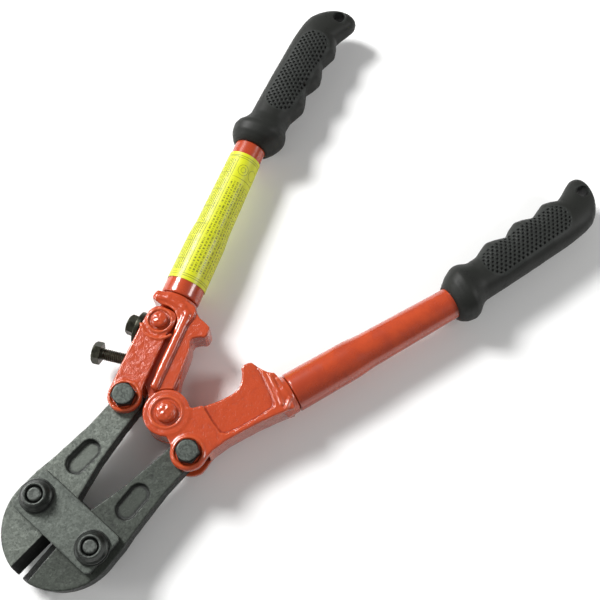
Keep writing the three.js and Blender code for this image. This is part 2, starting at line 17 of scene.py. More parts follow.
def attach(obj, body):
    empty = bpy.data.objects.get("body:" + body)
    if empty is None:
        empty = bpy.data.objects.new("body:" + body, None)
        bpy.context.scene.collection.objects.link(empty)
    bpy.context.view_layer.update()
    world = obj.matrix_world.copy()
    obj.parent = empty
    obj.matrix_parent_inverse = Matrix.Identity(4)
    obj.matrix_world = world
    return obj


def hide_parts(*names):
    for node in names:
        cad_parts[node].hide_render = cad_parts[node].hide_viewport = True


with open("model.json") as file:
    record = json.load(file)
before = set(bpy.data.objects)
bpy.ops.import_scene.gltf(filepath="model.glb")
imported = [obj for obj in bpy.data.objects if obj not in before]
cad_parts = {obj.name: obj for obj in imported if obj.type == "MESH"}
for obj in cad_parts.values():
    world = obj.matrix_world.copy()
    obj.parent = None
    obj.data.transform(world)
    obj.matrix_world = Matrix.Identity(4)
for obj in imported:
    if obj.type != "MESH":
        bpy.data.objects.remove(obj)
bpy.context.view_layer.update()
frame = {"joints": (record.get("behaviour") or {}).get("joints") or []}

# ---------------------------------------------------------------- dimensions, in millimetres
MM = 0.001
JOINT = {joint["name"]: np.array(joint["pos_m"]) / MM for joint in frame["joints"]}
PIVOT = JOINT["handle_hinge"]
JAW_BOLT = JOINT["right_jaw_bolt_hinge"]
JAW_PIN = JOINT["right_jaw_hinge"]
PIVOT_ARM = float(np.hypot(*(JAW_BOLT - PIVOT)[:2]))
HANDLE_ANGLE = math.atan2(PIVOT[1] - JAW_BOLT[1], JAW_BOLT[0] - PIVOT[0])
JAW_OPEN = math.radians(2.04)       # each jaw from its closed place, as the tool lies

JAW_HALF = 5.3
OPEN_JAW = 9                        # a height above the jaws' faces
SLOT_HALF = 5.6
EAR_TOP = 9.4
RING_TOP = 10.1                     # raised rings round the pivots
STRAP_TOP = 9.7
LINK_PIVOT_A = 41.5
KNUCKLE_R = 11.5
JAW_BOSS_R = 7.9
JAW_HEAD_ROOM_R = 6.5
JAW_HEAD_ROOM_FLOOR = 9.3
OPEN_AIR = 14                       # a height above every face, where cuts end
SCREW_SPOT = (20.9, 20.4)           # where the adjusting screw's tip rests on the rail
SCREW_TILT = 8
LOCK_A = 36.5
LOCK_HOLE_END = 24.3                # the hole in the left head stops here
LOCK_SPOT = (24.6, LOCK_A)
TUBE_B = 20
TUBE_START = 58
COLLAR_R = 9.95
SPLINE_KNOTS = [58, 92, 96, 100, 146, 240]
TUBE_RADII = [10.15, 9.9, 9.55, 9.1, 8.3, 8.3]
BEND_START = 146
BEND_LENGTH = 30
BEND_ANGLE = math.radians(6.5)
LABEL = (66.0, 144.0)
TUBE_SIDES = 96

INNER_EDGE = [(9.8, 56), (6, 51), (0.5, 49), (-2.5, 47.6), (-2.5, 42.2), (1, 41.2), (4.5, 38.6)]
RIGHT_ARM = INNER_EDGE + [
    (7.2, 35), (7.6, 29), (6.6, 20), (4.2, 12), (0, 0), (8, -8), (9.5, -5.2), (13, -5.6), (22, -6),
    (31.1, -0.5), (30, 3), (26.6, 13), (26.6, 33), (28.2, 50), (29.6, 56)]
RIGHT_POCKET = [
    (-8, 16.9), (-8, 49.8), (6, 49.3), (20.7, 47.8), (24.1, 45.8), (24.1, 20.6), (20.8, 16.9)]
LEFT_ARM = INNER_EDGE + [
    (2.4, 33), (2.1, 22), (1.8, 12), (3, 8), (13.4, 8), (13.2, 48), (30.6, 50.4), (31.2, 53),
    (29.6, 57)]
LEFT_FACET = [(-8, 60), (-8, 6), (9, 6), (9, 44), (7.4, 49), (7.4, 60)]
LEFT_RAIL = [
    (3, 0), (10.5, 2), (16, 9.6), (20.5, 12.5), (20.5, 28), (27.1, 31.5), (27.1, 46), (26, 52),
    (8, 52), (2.4, 33), (2, 20), (-2, 8)]
LINK_PLATE = [
    (26.8, 48.6), (20, 49), (15.2, 47.1), (14.8, 41.4), (16.4, 36.1), (16.2, 27.4), (16.2, 14.3),
    (16.1, 6.6), (14.4, 2.6), (14.2, -1), (16.7, -5), (19.9, -7.6), (23.2, -8.2), (27, -7),
    (30.2, -3.3), (30.6, 0.5), (30.6, 9.2), (30.6, 25.9), (29.9, 43), (29, 45.6)]

# Rows of the grip: place along the handle, inner edge, outer edge, half thickness.
GRIP_ROWS = np.array([
    (151.5, 10.8, 29.2, 9.4), (153, 9.6, 30.8, 11.4), (156, 7.2, 32.4, 13.3),
    (160, 5, 33, 14.2), (162.5, 4.4, 32.2, 13.9), (165, 4.8, 30, 12.6), (167.5, 6, 28.3, 11.7),
    (170, 6.6, 27.5, 11.2), (176, 6, 27.2, 11), (180.5, 3.8, 27, 10.9), (184.5, 2, 26.8, 10.9),
    (188.5, 2.6, 26.5, 10.8), (195.5, 4.6, 26.1, 10.6), (200, 1.6, 25.8, 10.4),
    (204, -0.2, 25.6, 10.3), (208, 0.4, 25.2, 10.1), (214, 2.4, 24.8, 9.9),
    (219, 0.2, 24.5, 9.6), (223, -1.6, 24.2, 9.4), (227, -0.8, 23.7, 9.1),
    (231.5, 0.8, 23, 8.8), (236, -1.2, 22.2, 8.3), (240.5, -3.8, 20.7, 7.8),
    (244, -5.4, 18, 7.3), (246.7, -5.2, 14.6, 6.7), (248.8, -3.8, 10.8, 5.8),
    (250.2, 0.4, 5, 4.2)])
GRIP_SQUARENESS = 2.33              # the power in the section's superellipse
HANG_HOLE = {"b": 4.2, "a": 244.4, "reach": 0.5, "r": 2.9}
GRIP_PATCH = ((14.6, 182), (10.8, 222), 7.6)
PIT = {"along": 2.9, "across": 1.72, "size": 1.25, "depth": 0.75}

# jaws, in their closed place, from the handle pivot
JAW_ARC_Y = -70.5
JAW_ARC_R = 28.47
EDGE_X = 0.12
BEVEL_WIDTH = 4.0
BEVEL_END = -73
TAIL_R = 7.4
TAIL_SHIFT = 1.6
OVAL = {"x": 16.4, "y": -41.2, "reach": 4.5, "r": 5.0}
OVAL_DEPTH = {-1: 2.6, 1: 1.5}
STRAP = [(-25, -77.4), (-23.4, -79), (23.4, -79), (25, -77.4), (25, -58.3), (23.4, -56.7),
         (-23.4, -56.7), (-25, -58.3)]


# ---------------------------------------------------------------- distance fields
def softened(corners, turns=2):
    """Chaikin's rule: each corner gives way to the points a quarter and three quarters along its
    two sides, as many times as turns says."""
    points = np.array(corners, float)
    for _ in range(turns):
        ahead = np.roll(points, -1, axis=0)
        points = np.stack([0.75 * points + 0.25 * ahead, 0.25 * points + 0.75 * ahead], 1)
        points = points.reshape(-1, 2)
    return points


def outline_distance(corners, x, y):
    """Distance to the nearest side of a closed outline, negative where a ray crosses an odd
    number of sides."""
    start = np.asarray(corners, float)
    run = np.roll(start, -1, axis=0) - start
    dx = x[..., None] - start[:, 0]
    dy = y[..., None] - start[:, 1]
    share = np.clip((dx * run[:, 0] + dy * run[:, 1]) / (run**2).sum(1), 0, 1)
    away = (dx - share * run[:, 0]) ** 2 + (dy - share * run[:, 1]) ** 2
    spans = (dy < 0) != (dy < run[:, 1])
    rise = np.where(run[:, 1] == 0, 1e-9, run[:, 1])
    odd = (spans & (dx < run[:, 0] * dy / rise)).sum(-1) % 2
    return np.sqrt(away.min(-1)) * np.where(odd, -1, 1)


def slab(flat, z, low, high, rounding):
    """A flat outline's distance given height from low to high, its edges rolled with a radius."""
    side = flat + rounding
    face = np.abs(z - (low + high) / 2) - (high - low) / 2 + rounding
    outside = np.hypot(np.maximum(side, 0), np.maximum(face, 0))
    return np.minimum(np.maximum(side, face), 0) + outside - rounding


def disc(b, a, z, centre, radius, half, rounding=0.8):
    """A round boss of a radius and half height with rolled edges."""
    return slab(np.hypot(b - centre[0], a - centre[1]) - radius, z, -half, half, rounding)


def stadium(x, y, start, end, radius):
    """Distance to the line from start to end, less a radius."""
    run = np.subtract(end, start)
    share = np.clip(((x - start[0]) * run[0] + (y - start[1]) * run[1]) / (run @ run), 0, 1)
    return np.hypot(x - start[0] - share * run[0], y - start[1] - share * run[1]) - radius


def joined(first, second, blend=0.6):
    """The smaller of two fields, with a fillet of about blend where they meet."""
    share = np.clip(0.5 + 0.5 * (second - first) / blend, 0, 1)
    return second + (first - second) * share - blend * share * (1 - share)


def without(first, second, blend=0.5):
    """The first field with the second cut out, the edge broken by about blend."""
    return -joined(-first, second, blend)


def lumps(size, *where):
    """Unevenness of a casting: the mean of three sines of bent coordinates, about size long."""
    x, y, z = (2 * np.pi * w / size for w in where)
    return (np.sin(x + 1.7 * np.sin(0.6 * y + 0.4 * z))
            + np.sin(1.1 * y + 1.9 * np.sin(0.5 * z - 0.7 * x) + 1)
            + np.sin(0.9 * z - 0.8 * x + 1.5 * np.sin(0.7 * y) + 2)) / 3


def slope_of(field, points, reach):
    """The field's slope at points, from its values a reach to each side of them."""
    steps = reach * np.eye(3)
    pairs = [field(*(points + s).T) - field(*(points - s).T) for s in steps]
    return np.stack(pairs, 1) / (2 * reach)


def surface_net(field, low, high, step):
    """The surface where a field is zero. Every cell of a cubic grid that the surface crosses
    gets one point, the mean of the crossings on its edges, and every grid edge that it crosses
    gets the four-sided face between the four cells round it. The points then slide down the
    field's slope onto the surface."""
    low = np.asarray(low, float)
    count = np.ceil((np.asarray(high, float) - low) / step).astype(int) + 1
    grid = np.meshgrid(*(low[k] + step * np.arange(count[k]) for k in range(3)),
                       indexing="ij", sparse=True)
    value = np.broadcast_to(field(*grid), count)
    cells = count - 1
    total = np.zeros((np.prod(cells), 3))
    hits = np.zeros(np.prod(cells))
    sides = []
    for axis in range(3):
        first = np.arange(3) == axis
        ahead = np.take(value, range(1, count[axis]), axis)
        here = np.take(value, range(count[axis] - 1), axis)
        edge = np.argwhere((here < 0) != (ahead < 0))
        v0, v1 = here[tuple(edge.T)], ahead[tuple(edge.T)]
        crossing = edge + first * (v0 / (v0 - v1))[:, None]
        corners = []
        for back in ((1, 1), (0, 1), (0, 0), (1, 0)):
            shift = np.zeros(3, int)
            shift[(axis + 1) % 3], shift[(axis + 2) % 3] = back
            cell = np.ravel_multi_index((edge - shift).T, cells)
            for k in range(3):
                total[:, k] += np.bincount(cell, crossing[:, k], len(total))
            hits += np.bincount(cell, minlength=len(total))
            corners.append(cell)
        quad = np.stack(corners, 1)
        sides.append(np.where((v0 < 0)[:, None], quad, quad[:, ::-1]))
    used = np.flatnonzero(hits)
    place = np.zeros(len(hits), int)
    place[used] = np.arange(len(used))
    points = low + step * total[used] / hits[used, None]
    for _ in range(2):
        slope = slope_of(field, points, 0.2 * step)
        steep = np.maximum((slope**2).sum(1), 0.05)
        move = slope * (field(*points.T) / steep)[:, None]
        points = points - np.clip(move, -0.6 * step, 0.6 * step)
    return points, place[np.concatenate(sides)]


def relief(field, points, reach):
    """How far a point stands on an edge, and how far it lies in a hollow, both 0 to 1: what is
    missing from the depth a reach under it, and from the room a reach above it."""
    slope = slope_of(field, points, 0.1)
    out = slope / np.maximum(np.linalg.norm(slope, axis=1), 1e-6)[:, None]
    under = field(*(points - reach * out).T)
    above = field(*(points + reach * out).T)
    return {"edge": np.clip(1 + under / reach, 0, 1), "hollow": np.clip(1 - above / reach, 0, 1)}


# ---------------------------------------------------------------- placing and making
def on_handle(points, side):
    """From a handle's b, a and z to the tool's own place: turned by the handle's angle, with b
    mirrored for side -1."""
    b, a, z = points.T
    c, s = math.cos(HANDLE_ANGLE), math.sin(HANDLE_ANGLE)
    return np.stack([side * (b * c + a * s), a * c - b * s, z], 1) + PIVOT


def flipped(faces, side):
    """Faces turned over where a piece is mirrored."""
    return faces[:, ::-1] if side < 0 else faces


def make_piece(name, points, faces, body, material, replaces=(), values=None, uv=None,
               crease=180, weld=False):
    """A mesh piece from points in millimetres, four-cornered faces and per-point values. It
    rides on a CAD body and stands for the CAD nodes it replaces."""
    mesh = bpy.data.meshes.new(name)
    mesh.vertices.add(len(points))
    mesh.vertices.foreach_set("co", (np.asarray(points) * MM).astype(np.float32).ravel())
    mesh.loops.add(faces.size)
    mesh.loops.foreach_set("vertex_index", faces.astype(np.int32).ravel())
    mesh.polygons.add(len(faces))
    mesh.polygons.foreach_set("loop_start", np.arange(0, faces.size, faces.shape[1]))
    for key, value in (values or {}).items():
        layer = mesh.attributes.new(key, "FLOAT", "POINT")
        layer.data.foreach_set("value", np.asarray(value, np.float32))
    if uv is not None:
        layer = mesh.uv_layers.new(name="around_along")
        layer.uv.foreach_set("vector", uv[faces.ravel()].astype(np.float32).ravel())
    mesh.update(calc_edges=True)
    if weld:
        shell = bmesh.new()
        shell.from_mesh(mesh)
        bmesh.ops.remove_doubles(shell, verts=shell.verts, dist=1e-6)
        bmesh.ops.recalc_face_normals(shell, faces=shell.faces)
        shell.to_mesh(mesh)
        shell.free()
    mesh.shade_smooth()
    if crease < 180:
        mesh.set_sharp_from_angle(angle=math.radians(crease))
    mesh.materials.append(material)
    piece = bpy.data.objects.new(name, mesh)
    bpy.context.scene.collection.objects.link(piece)
    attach(piece, body)
    if replaces:
        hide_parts(*replaces)
    return piece


def net_piece(name, field, low, high, step, body, material, replaces, side=1,
              place=on_handle, reach=1.3, masks=None):
    """A casting, forging or grip: its field's surface net, carried to its place."""
    points, faces = surface_net(field, low, high, step * COARSER)
    values = relief(field, points, reach)
    for key, mask in (masks or {}).items():
        values[key] = mask(*points.T)
    return make_piece(name, place(points, side), flipped(faces, side), body, material,
                      replaces, values)


def grid_faces(rows, columns):
    """Four-cornered faces of a grid of rows by columns that closes on itself along a row."""
    row = np.arange(rows - 1)[:, None] * columns
    here = np.arange(columns)
    ahead = (here + 1) % columns
    return np.stack([row + here, row + ahead, row + columns + ahead, row + columns + here],
                    -1).reshape(-1, 4)


def rolled(profile, radius=0.25, steps=3):
    """A profile whose inner corners become short curves: each corner is replaced by points of the
    parabola between the places a radius before and after it."""
    points = np.array(profile, float)
    before = points[:-2] - points[1:-1]
    after = points[2:] - points[1:-1]
    cut_b = np.minimum(radius / np.maximum(np.linalg.norm(before, axis=1), 1e-9), 0.45)[:, None]
    cut_a = np.minimum(radius / np.maximum(np.linalg.norm(after, axis=1), 1e-9), 0.45)[:, None]
    enter, leave = points[1:-1] + before * cut_b, points[1:-1] + after * cut_a
    t = np.linspace(0, 1, steps)[None, :, None]
    curve = ((1 - t) ** 2 * enter[:, None] + 2 * t * (1 - t) * points[1:-1, None]
             + t**2 * leave[:, None])
    return np.concatenate([points[:1], curve.reshape(-1, 2), points[-1:]])


def denser(profile, step):
    """A profile with points added so that none of its sides is longer than a step."""
    points = np.array(profile, float)
    length = np.linalg.norm(np.diff(points, axis=0), axis=1)
    parts = np.maximum(np.ceil(length / step).astype(int), 1)
    travel = np.concatenate([np.arange(n) / n + k for k, n in enumerate(parts)]
                            + [[len(parts)]])
    return np.stack([np.interp(travel, np.arange(len(points)), points[:, k]) for k in (0, 1)], 1)


def turned(profile, hexagon=None, thread=None, sides=72, dimples=0.0):
    """A body turned from pairs of radius and height. The radius is cut down to a hexagon's where
    one is given by its width across flats and the heights it lies between, and to a screw thread,
    a triangle wave of height less the share of a turn, where one is given by its pitch, depth
    and heights."""
    rows = denser(profile, 0.25 if thread else 0.5)
    angle = 2 * np.pi * np.arange(sides) / sides
    r = np.repeat(rows[:, :1], sides, 1)
    z = np.repeat(rows[:, 1:], sides, 1)
    if hexagon:
        flats, low, high = hexagon
        folded = (angle + np.pi / 6) % (np.pi / 3) - np.pi / 6
        flat_r = 0.5 * flats / np.cos(folded)
        held = (z >= low) & (z <= high)
        r = np.where(held, np.minimum(r, flat_r), r)
    if thread:
        pitch, depth, low, high = thread
        wave = np.abs(2 * ((z / pitch - angle / (2 * np.pi)) % 1) - 1)
        fade = np.clip((z - low) / pitch, 0, 1) * np.clip((high - z) / pitch, 0, 1)
        r = r - depth * wave * fade * (r > 0.5)
    if dimples:
        spots = np.abs(np.sin(1.15 * r * np.cos(angle)) * np.sin(1.15 * r * np.sin(angle)))
        z = z - np.sign(z) * dimples * spots**2 * (r < 0.75 * r.max())
    points = np.stack([r * np.cos(angle), r * np.sin(angle), z], -1).reshape(-1, 3)
    return points, grid_faces(len(rows), sides)


def turned_piece(name, shape, origin, frame_axes, body, material, replaces=(),
                 crease=38, tops=()):
    """A turned body stood at an origin on three axes, the third of them its own. Its flat end is
    where its points lie within a hair of one of the heights in tops."""
    points, faces = shape
    placed = points @ np.asarray(frame_axes, float) + origin
    flat = np.zeros(len(points))
    for height in tops:
        flat = np.maximum(flat, np.abs(points[:, 2] - height) < 0.12)
    return make_piece(name, placed, faces, body, material, replaces,
                      {"flat_end": flat}, crease=crease, weld=True)


UPRIGHT = np.eye(3)


# ---------------------------------------------------------------- finishes
def add_node(tree, kind, inputs=None, **settings):
    """A node of a kind, with its settings, and its inputs set to values or joined to sockets."""
    made = tree.nodes.new(kind)
    for key, value in settings.items():
        setattr(made, key, value)
    for key, value in (inputs or {}).items():
        if isinstance(value, bpy.types.NodeSocket):
            tree.links.new(value, made.inputs[key])
        else:
            made.inputs[key].default_value = value
    return made


def arithmetic(tree, operation, first, second=0.0, third=0.0):
    """One Math node's result."""
    return add_node(tree, "ShaderNodeMath", {0: first, 1: second, 2: third},
                    operation=operation).outputs[0]


def between(tree, value, low, high, start=0.0, end=1.0):
    """A value carried smoothly from the range low to high to the range start to end."""
    return add_node(tree, "ShaderNodeMapRange",
                    {"Value": value, "From Min": low, "From Max": high, "To Min": start,
                     "To Max": end}, interpolation_type="SMOOTHSTEP").outputs["Result"]


def tint(tree, share, first, second):
    """A colour mixed from two by a share."""
    made = add_node(tree, "ShaderNodeMix", {0: share}, data_type="RGBA")
    for key, value in ((6, first), (7, second)):
        if isinstance(value, bpy.types.NodeSocket):
            tree.links.new(value, made.inputs[key])
        else:
            made.inputs[key].default_value = (*value, 1)
    return made.outputs[2]


def noise(tree, where, size, detail=3.0):
    """A Noise texture whose lumps are about size millimetres long."""
    return add_node(tree, "ShaderNodeTexNoise",
                    {"Vector": where, "Scale": 1 / (size * MM),
                     "Detail": detail}).outputs["Fac"]


def finish_group(name, inputs, outputs):
    """An empty shader node group with named inputs, with their values, and named outputs."""
    tree = bpy.data.node_groups.new(name, "ShaderNodeTree")
    for key, value in inputs.items():
        kind = "NodeSocketVector" if value is None else "NodeSocketFloat"
        socket = tree.interface.new_socket(name=key, in_out="INPUT", socket_type=kind)
        if value is not None:
            socket.default_value = value
    for key in outputs:
        tree.interface.new_socket(name=key, in_out="OUTPUT", socket_type="NodeSocketFloat")
    return tree, tree.nodes.new("NodeGroupInput").outputs, tree.nodes.new("NodeGroupOutput").inputs


def cast_skin():
    """Uneven skin of a casting or forging: broad lumps and fine grain, each a noise of a size in
    millimetres, added with their heights, and a patchy mask for colour and gloss."""
    tree, given, result = finish_group(
        "cast_skin", {"Position": None, "Lump Size": 6.0, "Grain Size": 1.0, "Grain Share": 0.4},
        ("Height", "Patches"))
    scaled = []
    for key, detail in (("Lump Size", 2.0), ("Grain Size", 4.0)):
        scale = arithmetic(tree, "DIVIDE", 1 / MM, given[key])
        scaled.append(add_node(tree, "ShaderNodeTexNoise",
                               {"Vector": given["Position"], "Scale": scale, "Detail": detail,
                                "Roughness": 0.55}).outputs["Fac"])
    grain = arithmetic(tree, "MULTIPLY", scaled[1], given["Grain Share"])
    tree.links.new(arithmetic(tree, "ADD", scaled[0], grain), result["Height"])
    patches = between(tree, arithmetic(tree, "ADD", scaled[0], grain), 0.45, 0.95)
    tree.links.new(patches, result["Patches"])
    return tree


def edge_and_hollow_masks():
    """Masks of a piece's edges and hollows: the edge and hollow values
    carried by its points, broken up by a fine noise and sharpened. The finishes use the hollow mask
    to paint shade into hollows, with some deeper paint on the castings. They use the edge mask to
    make edges lighter on paint and rubber, partly wear and partly a painted highlight, and near
    black on steel, a painted shade outline."""
    tree, given, result = finish_group(
        "edge_and_hollow_masks", {"Position": None, "Break Up": 0.5, "Fine Size": 0.9},
        ("Edge Mask", "Hollow Shade"))
    scale = arithmetic(tree, "DIVIDE", 1 / MM, given["Fine Size"])
    fine = add_node(tree, "ShaderNodeTexNoise",
                    {"Vector": given["Position"], "Scale": scale, "Detail": 3.0}).outputs["Fac"]
    uneven = arithmetic(tree, "MULTIPLY", arithmetic(tree, "SUBTRACT", fine, 0.5),
                        given["Break Up"])
    for key, output, low, high in (("edge", "Edge Mask", 0.2, 0.6), ("hollow", "Hollow Shade", 0.1, 0.7)):
        carried = add_node(tree, "ShaderNodeAttribute", attribute_name=key).outputs["Fac"]
        tree.links.new(between(tree, arithmetic(tree, "ADD", carried, uneven), low, high),
                       result[output])
    return tree


def speckle():
    """Fine light and dark specks: a Voronoi cell colour's brightness pushed towards its ends, and
    a second, smaller set of pits."""
    tree, given, result = finish_group("speckle", {"Position": None, "Size": 0.8},
                                       ("Specks", "Pits"))
    scale = arithmetic(tree, "DIVIDE", 1 / MM, given["Size"])
    cells = add_node(tree, "ShaderNodeTexVoronoi", {"Vector": given["Position"], "Scale": scale})
    split = add_node(tree, "ShaderNodeSeparateColor", {"Color": cells.outputs["Color"]})
    tree.links.new(between(tree, split.outputs[0], 0.1, 0.9), result["Specks"])
    fine = add_node(tree, "ShaderNodeTexNoise",
                    {"Vector": given["Position"], "Scale": arithmetic(tree, "MULTIPLY", scale, 1.3),
                     "Detail": 5.0, "Roughness": 0.7}).outputs["Fac"]
    tree.links.new(between(tree, fine, 0.52, 0.68), result["Pits"])
    return tree


CAST_SKIN = cast_skin()
EDGE_AND_HOLLOW_MASKS = edge_and_hollow_masks()
SPECKLE = speckle()


def new_finish(name, **plain):
    """A material with a Principled BSDF whose named sockets hold plain values. Returns the
    material, its tree, the shader and the Object coordinates."""
    material = bpy.data.materials.new(name)
    material.use_nodes = True
    tree = material.node_tree
    shader = tree.nodes["Principled BSDF"]
    for key, value in plain.items():
        shader.inputs[key.replace("_", " ")].default_value = value
    return material, tree, shader, tree.nodes.new("ShaderNodeTexCoord").outputs["Object"]


def use_group(tree, group, **inputs):
    """A group placed in a material; its outputs by name."""
    keyed = {key.replace("_", " "): value for key, value in inputs.items()}
    return add_node(tree, "ShaderNodeGroup", keyed, node_tree=group).outputs


def feed(tree, shader, colour, roughness=None, height=None, rise=0.1, metallic=None):
    """Joins what varies over the surface to the shader; height goes in through a Bump node whose
    full rise is in millimetres."""
    for key, socket in (("Base Color", colour), ("Roughness", roughness), ("Metallic", metallic)):
        if socket is not None:
            tree.links.new(socket, shader.inputs[key])
    if height is not None:
        bump = add_node(tree, "ShaderNodeBump", {"Height": height, "Distance": rise * MM,
                                                 "Strength": 1.0})
        tree.links.new(bump.outputs["Normal"], shader.inputs["Normal"])


def red_paint(name, lump_size, rise, grain_size=1.1, grain_share=0.35):
    """Glossy orange-red paint, thick over a casting: darker in hollows, partly where the paint lies
    deeper and partly as painted shade, and thinner and brighter on edges, partly wear and partly a
    painted highlight, with orange peel."""
    material, tree, shader, where = new_finish(
        name, Coat_Roughness=0.06, Coat_Weight=0.55, Specular_IOR_Level=0.45)
    skin = use_group(tree, CAST_SKIN, Position=where, Lump_Size=lump_size,
                     Grain_Size=grain_size, Grain_Share=grain_share)
    mask_values = use_group(tree, EDGE_AND_HOLLOW_MASKS, Position=where, Break_Up=0.35)
    colour = tint(tree, skin["Patches"], (0.35, 0.038, 0.009), (0.44, 0.054, 0.013))
    # darker red in hollows: partly deeper paint, partly painted shade
    colour = tint(tree, arithmetic(tree, "MULTIPLY", mask_values["Hollow Shade"], 0.8), colour,
                  (0.20, 0.014, 0.005))
    # brighter red on edges: partly worn thin paint, partly a painted highlight
    colour = tint(tree, arithmetic(tree, "MULTIPLY", mask_values["Edge Mask"], 0.35), colour,
                  (0.68, 0.14, 0.045))
    gloss = between(tree, skin["Patches"], 0, 1, 0.3, 0.2)
    feed(tree, shader, colour, gloss, skin["Height"], rise)
    return material


def phosphated_steel(name, light, dark):
    """Dull grey-green phosphated forging: specks and pits over patches, near-black edges, hollows
    and walls that are painted shade, and ground bevels and plain oval floors where the masks say
    so."""
    material, tree, shader, where = new_finish(name, Specular_IOR_Level=0.5)
    skin = use_group(tree, CAST_SKIN, Position=where, Lump_Size=7.0, Grain_Size=0.9,
                     Grain_Share=0.9)
    mask_values = use_group(tree, EDGE_AND_HOLLOW_MASKS, Position=where, Break_Up=0.9, Fine_Size=1.6)
    specks = use_group(tree, SPECKLE, Position=where, Size=1.0)
    ground = add_node(tree, "ShaderNodeAttribute", attribute_name="ground").outputs["Fac"]
    floor = add_node(tree, "ShaderNodeAttribute", attribute_name="floor").outputs["Fac"]
    wall = add_node(tree, "ShaderNodeAttribute", attribute_name="wall").outputs["Fac"]
    colour = tint(tree, skin["Patches"], dark, light)
    colour = tint(tree, arithmetic(tree, "MULTIPLY", specks["Specks"], 0.4), colour,
                  [1.7 * v for v in light])
    colour = tint(tree, arithmetic(tree, "MULTIPLY", specks["Pits"], 0.6), colour,
                  [0.3 * v for v in dark])
    # near black in the hollows: painted shade
    colour = tint(tree, arithmetic(tree, "MULTIPLY", mask_values["Hollow Shade"], 0.8), colour,
                  (0.012, 0.013, 0.012))
    # near black along the edges: a painted shade outline
    colour = tint(tree, arithmetic(tree, "MULTIPLY", mask_values["Edge Mask"], 0.75), colour,
                  (0.012, 0.013, 0.012))
    colour = tint(tree, floor, colour, light)
    # near black on the side walls and round the oval's wall: painted shade
    colour = tint(tree, arithmetic(tree, "MULTIPLY", wall, 0.85), colour, (0.010, 0.011, 0.010))
    lines = add_node(tree, "ShaderNodeTexNoise",
                     {"Vector": add_node(tree, "ShaderNodeMapping",
                                         {"Vector": where, "Scale": (1, 0.06, 1)}).outputs[0],
                      "Scale": 3 / MM, "Detail": 2.0}).outputs["Fac"]
    colour = tint(tree, ground, colour,
                  tint(tree, lines, (0.010, 0.010, 0.010), (0.05, 0.052, 0.05)))
    gloss = between(tree, specks["Specks"], 0, 1, 0.66, 0.5)
    gloss = arithmetic(tree, "MULTIPLY_ADD", ground, -0.22, gloss)
    metal = arithmetic(tree, "MULTIPLY_ADD", ground, 0.35, between(
        tree, skin["Patches"], 0, 1, 0.2, 0.35))
    feed(tree, shader, colour, gloss, skin["Height"], 0.16, metallic=metal)
    return material


def black_oxide(name, side, flat):
    """Blackened bolt steel, oily dark on the sides and speckled grey on the flat ends; the dark
    sides are partly painted shade and the lighter flat ends partly painted light.
    """
    material, tree, shader, where = new_finish(name, Specular_IOR_Level=0.5)
    skin = use_group(tree, CAST_SKIN, Position=where, Lump_Size=2.5, Grain_Size=0.5,
                     Grain_Share=0.5)
    specks = use_group(tree, SPECKLE, Position=where, Size=0.9)
    end = add_node(tree, "ShaderNodeAttribute", attribute_name="flat_end").outputs["Fac"]
    colour = tint(tree, skin["Patches"], side, [2.2 * v for v in side])
    # the flat ends lighter than the sides: partly painted light on the ends facing the lamps
    bright = tint(tree, specks["Specks"], [0.55 * v for v in flat], flat)
    colour = tint(tree, end, colour, bright)
    gloss = arithmetic(tree, "MULTIPLY_ADD", end, 0.16, between(
        tree, skin["Patches"], 0, 1, 0.3, 0.42))
    metal = between(tree, specks["Pits"], 0, 1, 0.75, 0.45)
    feed(tree, shader, colour, gloss, skin["Height"], 0.05, metallic=metal)
    return material


def moulded_rubber():
    """Satin black rubber: a fine pebble skin, greyer on the crowns, partly wear and partly painted
    light, and darker in the hollows as painted shade."""
    material, tree, shader, where = new_finish("moulded_rubber", Specular_IOR_Level=0.24)
    skin = use_group(tree, CAST_SKIN, Position=where, Lump_Size=8.0, Grain_Size=0.7,
                     Grain_Share=1.0)
    mask_values = use_group(tree, EDGE_AND_HOLLOW_MASKS, Position=where, Break_Up=0.5)
    colour = tint(tree, skin["Patches"], (0.005, 0.005, 0.0045), (0.013, 0.014, 0.012))
    # darker in the hollows: painted shade
    colour = tint(tree, arithmetic(tree, "MULTIPLY", mask_values["Hollow Shade"], 0.7), colour,
                  (0.004, 0.004, 0.004))
    # greyer on the crowns: partly wear, partly painted light
    colour = tint(tree, arithmetic(tree, "MULTIPLY", mask_values["Edge Mask"], 0.35), colour,
                  (0.035, 0.04, 0.037))
    gloss = between(tree, skin["Patches"], 0, 1, 0.68, 0.52)
    feed(tree, shader, colour, gloss, skin["Height"], 0.06)
    return material


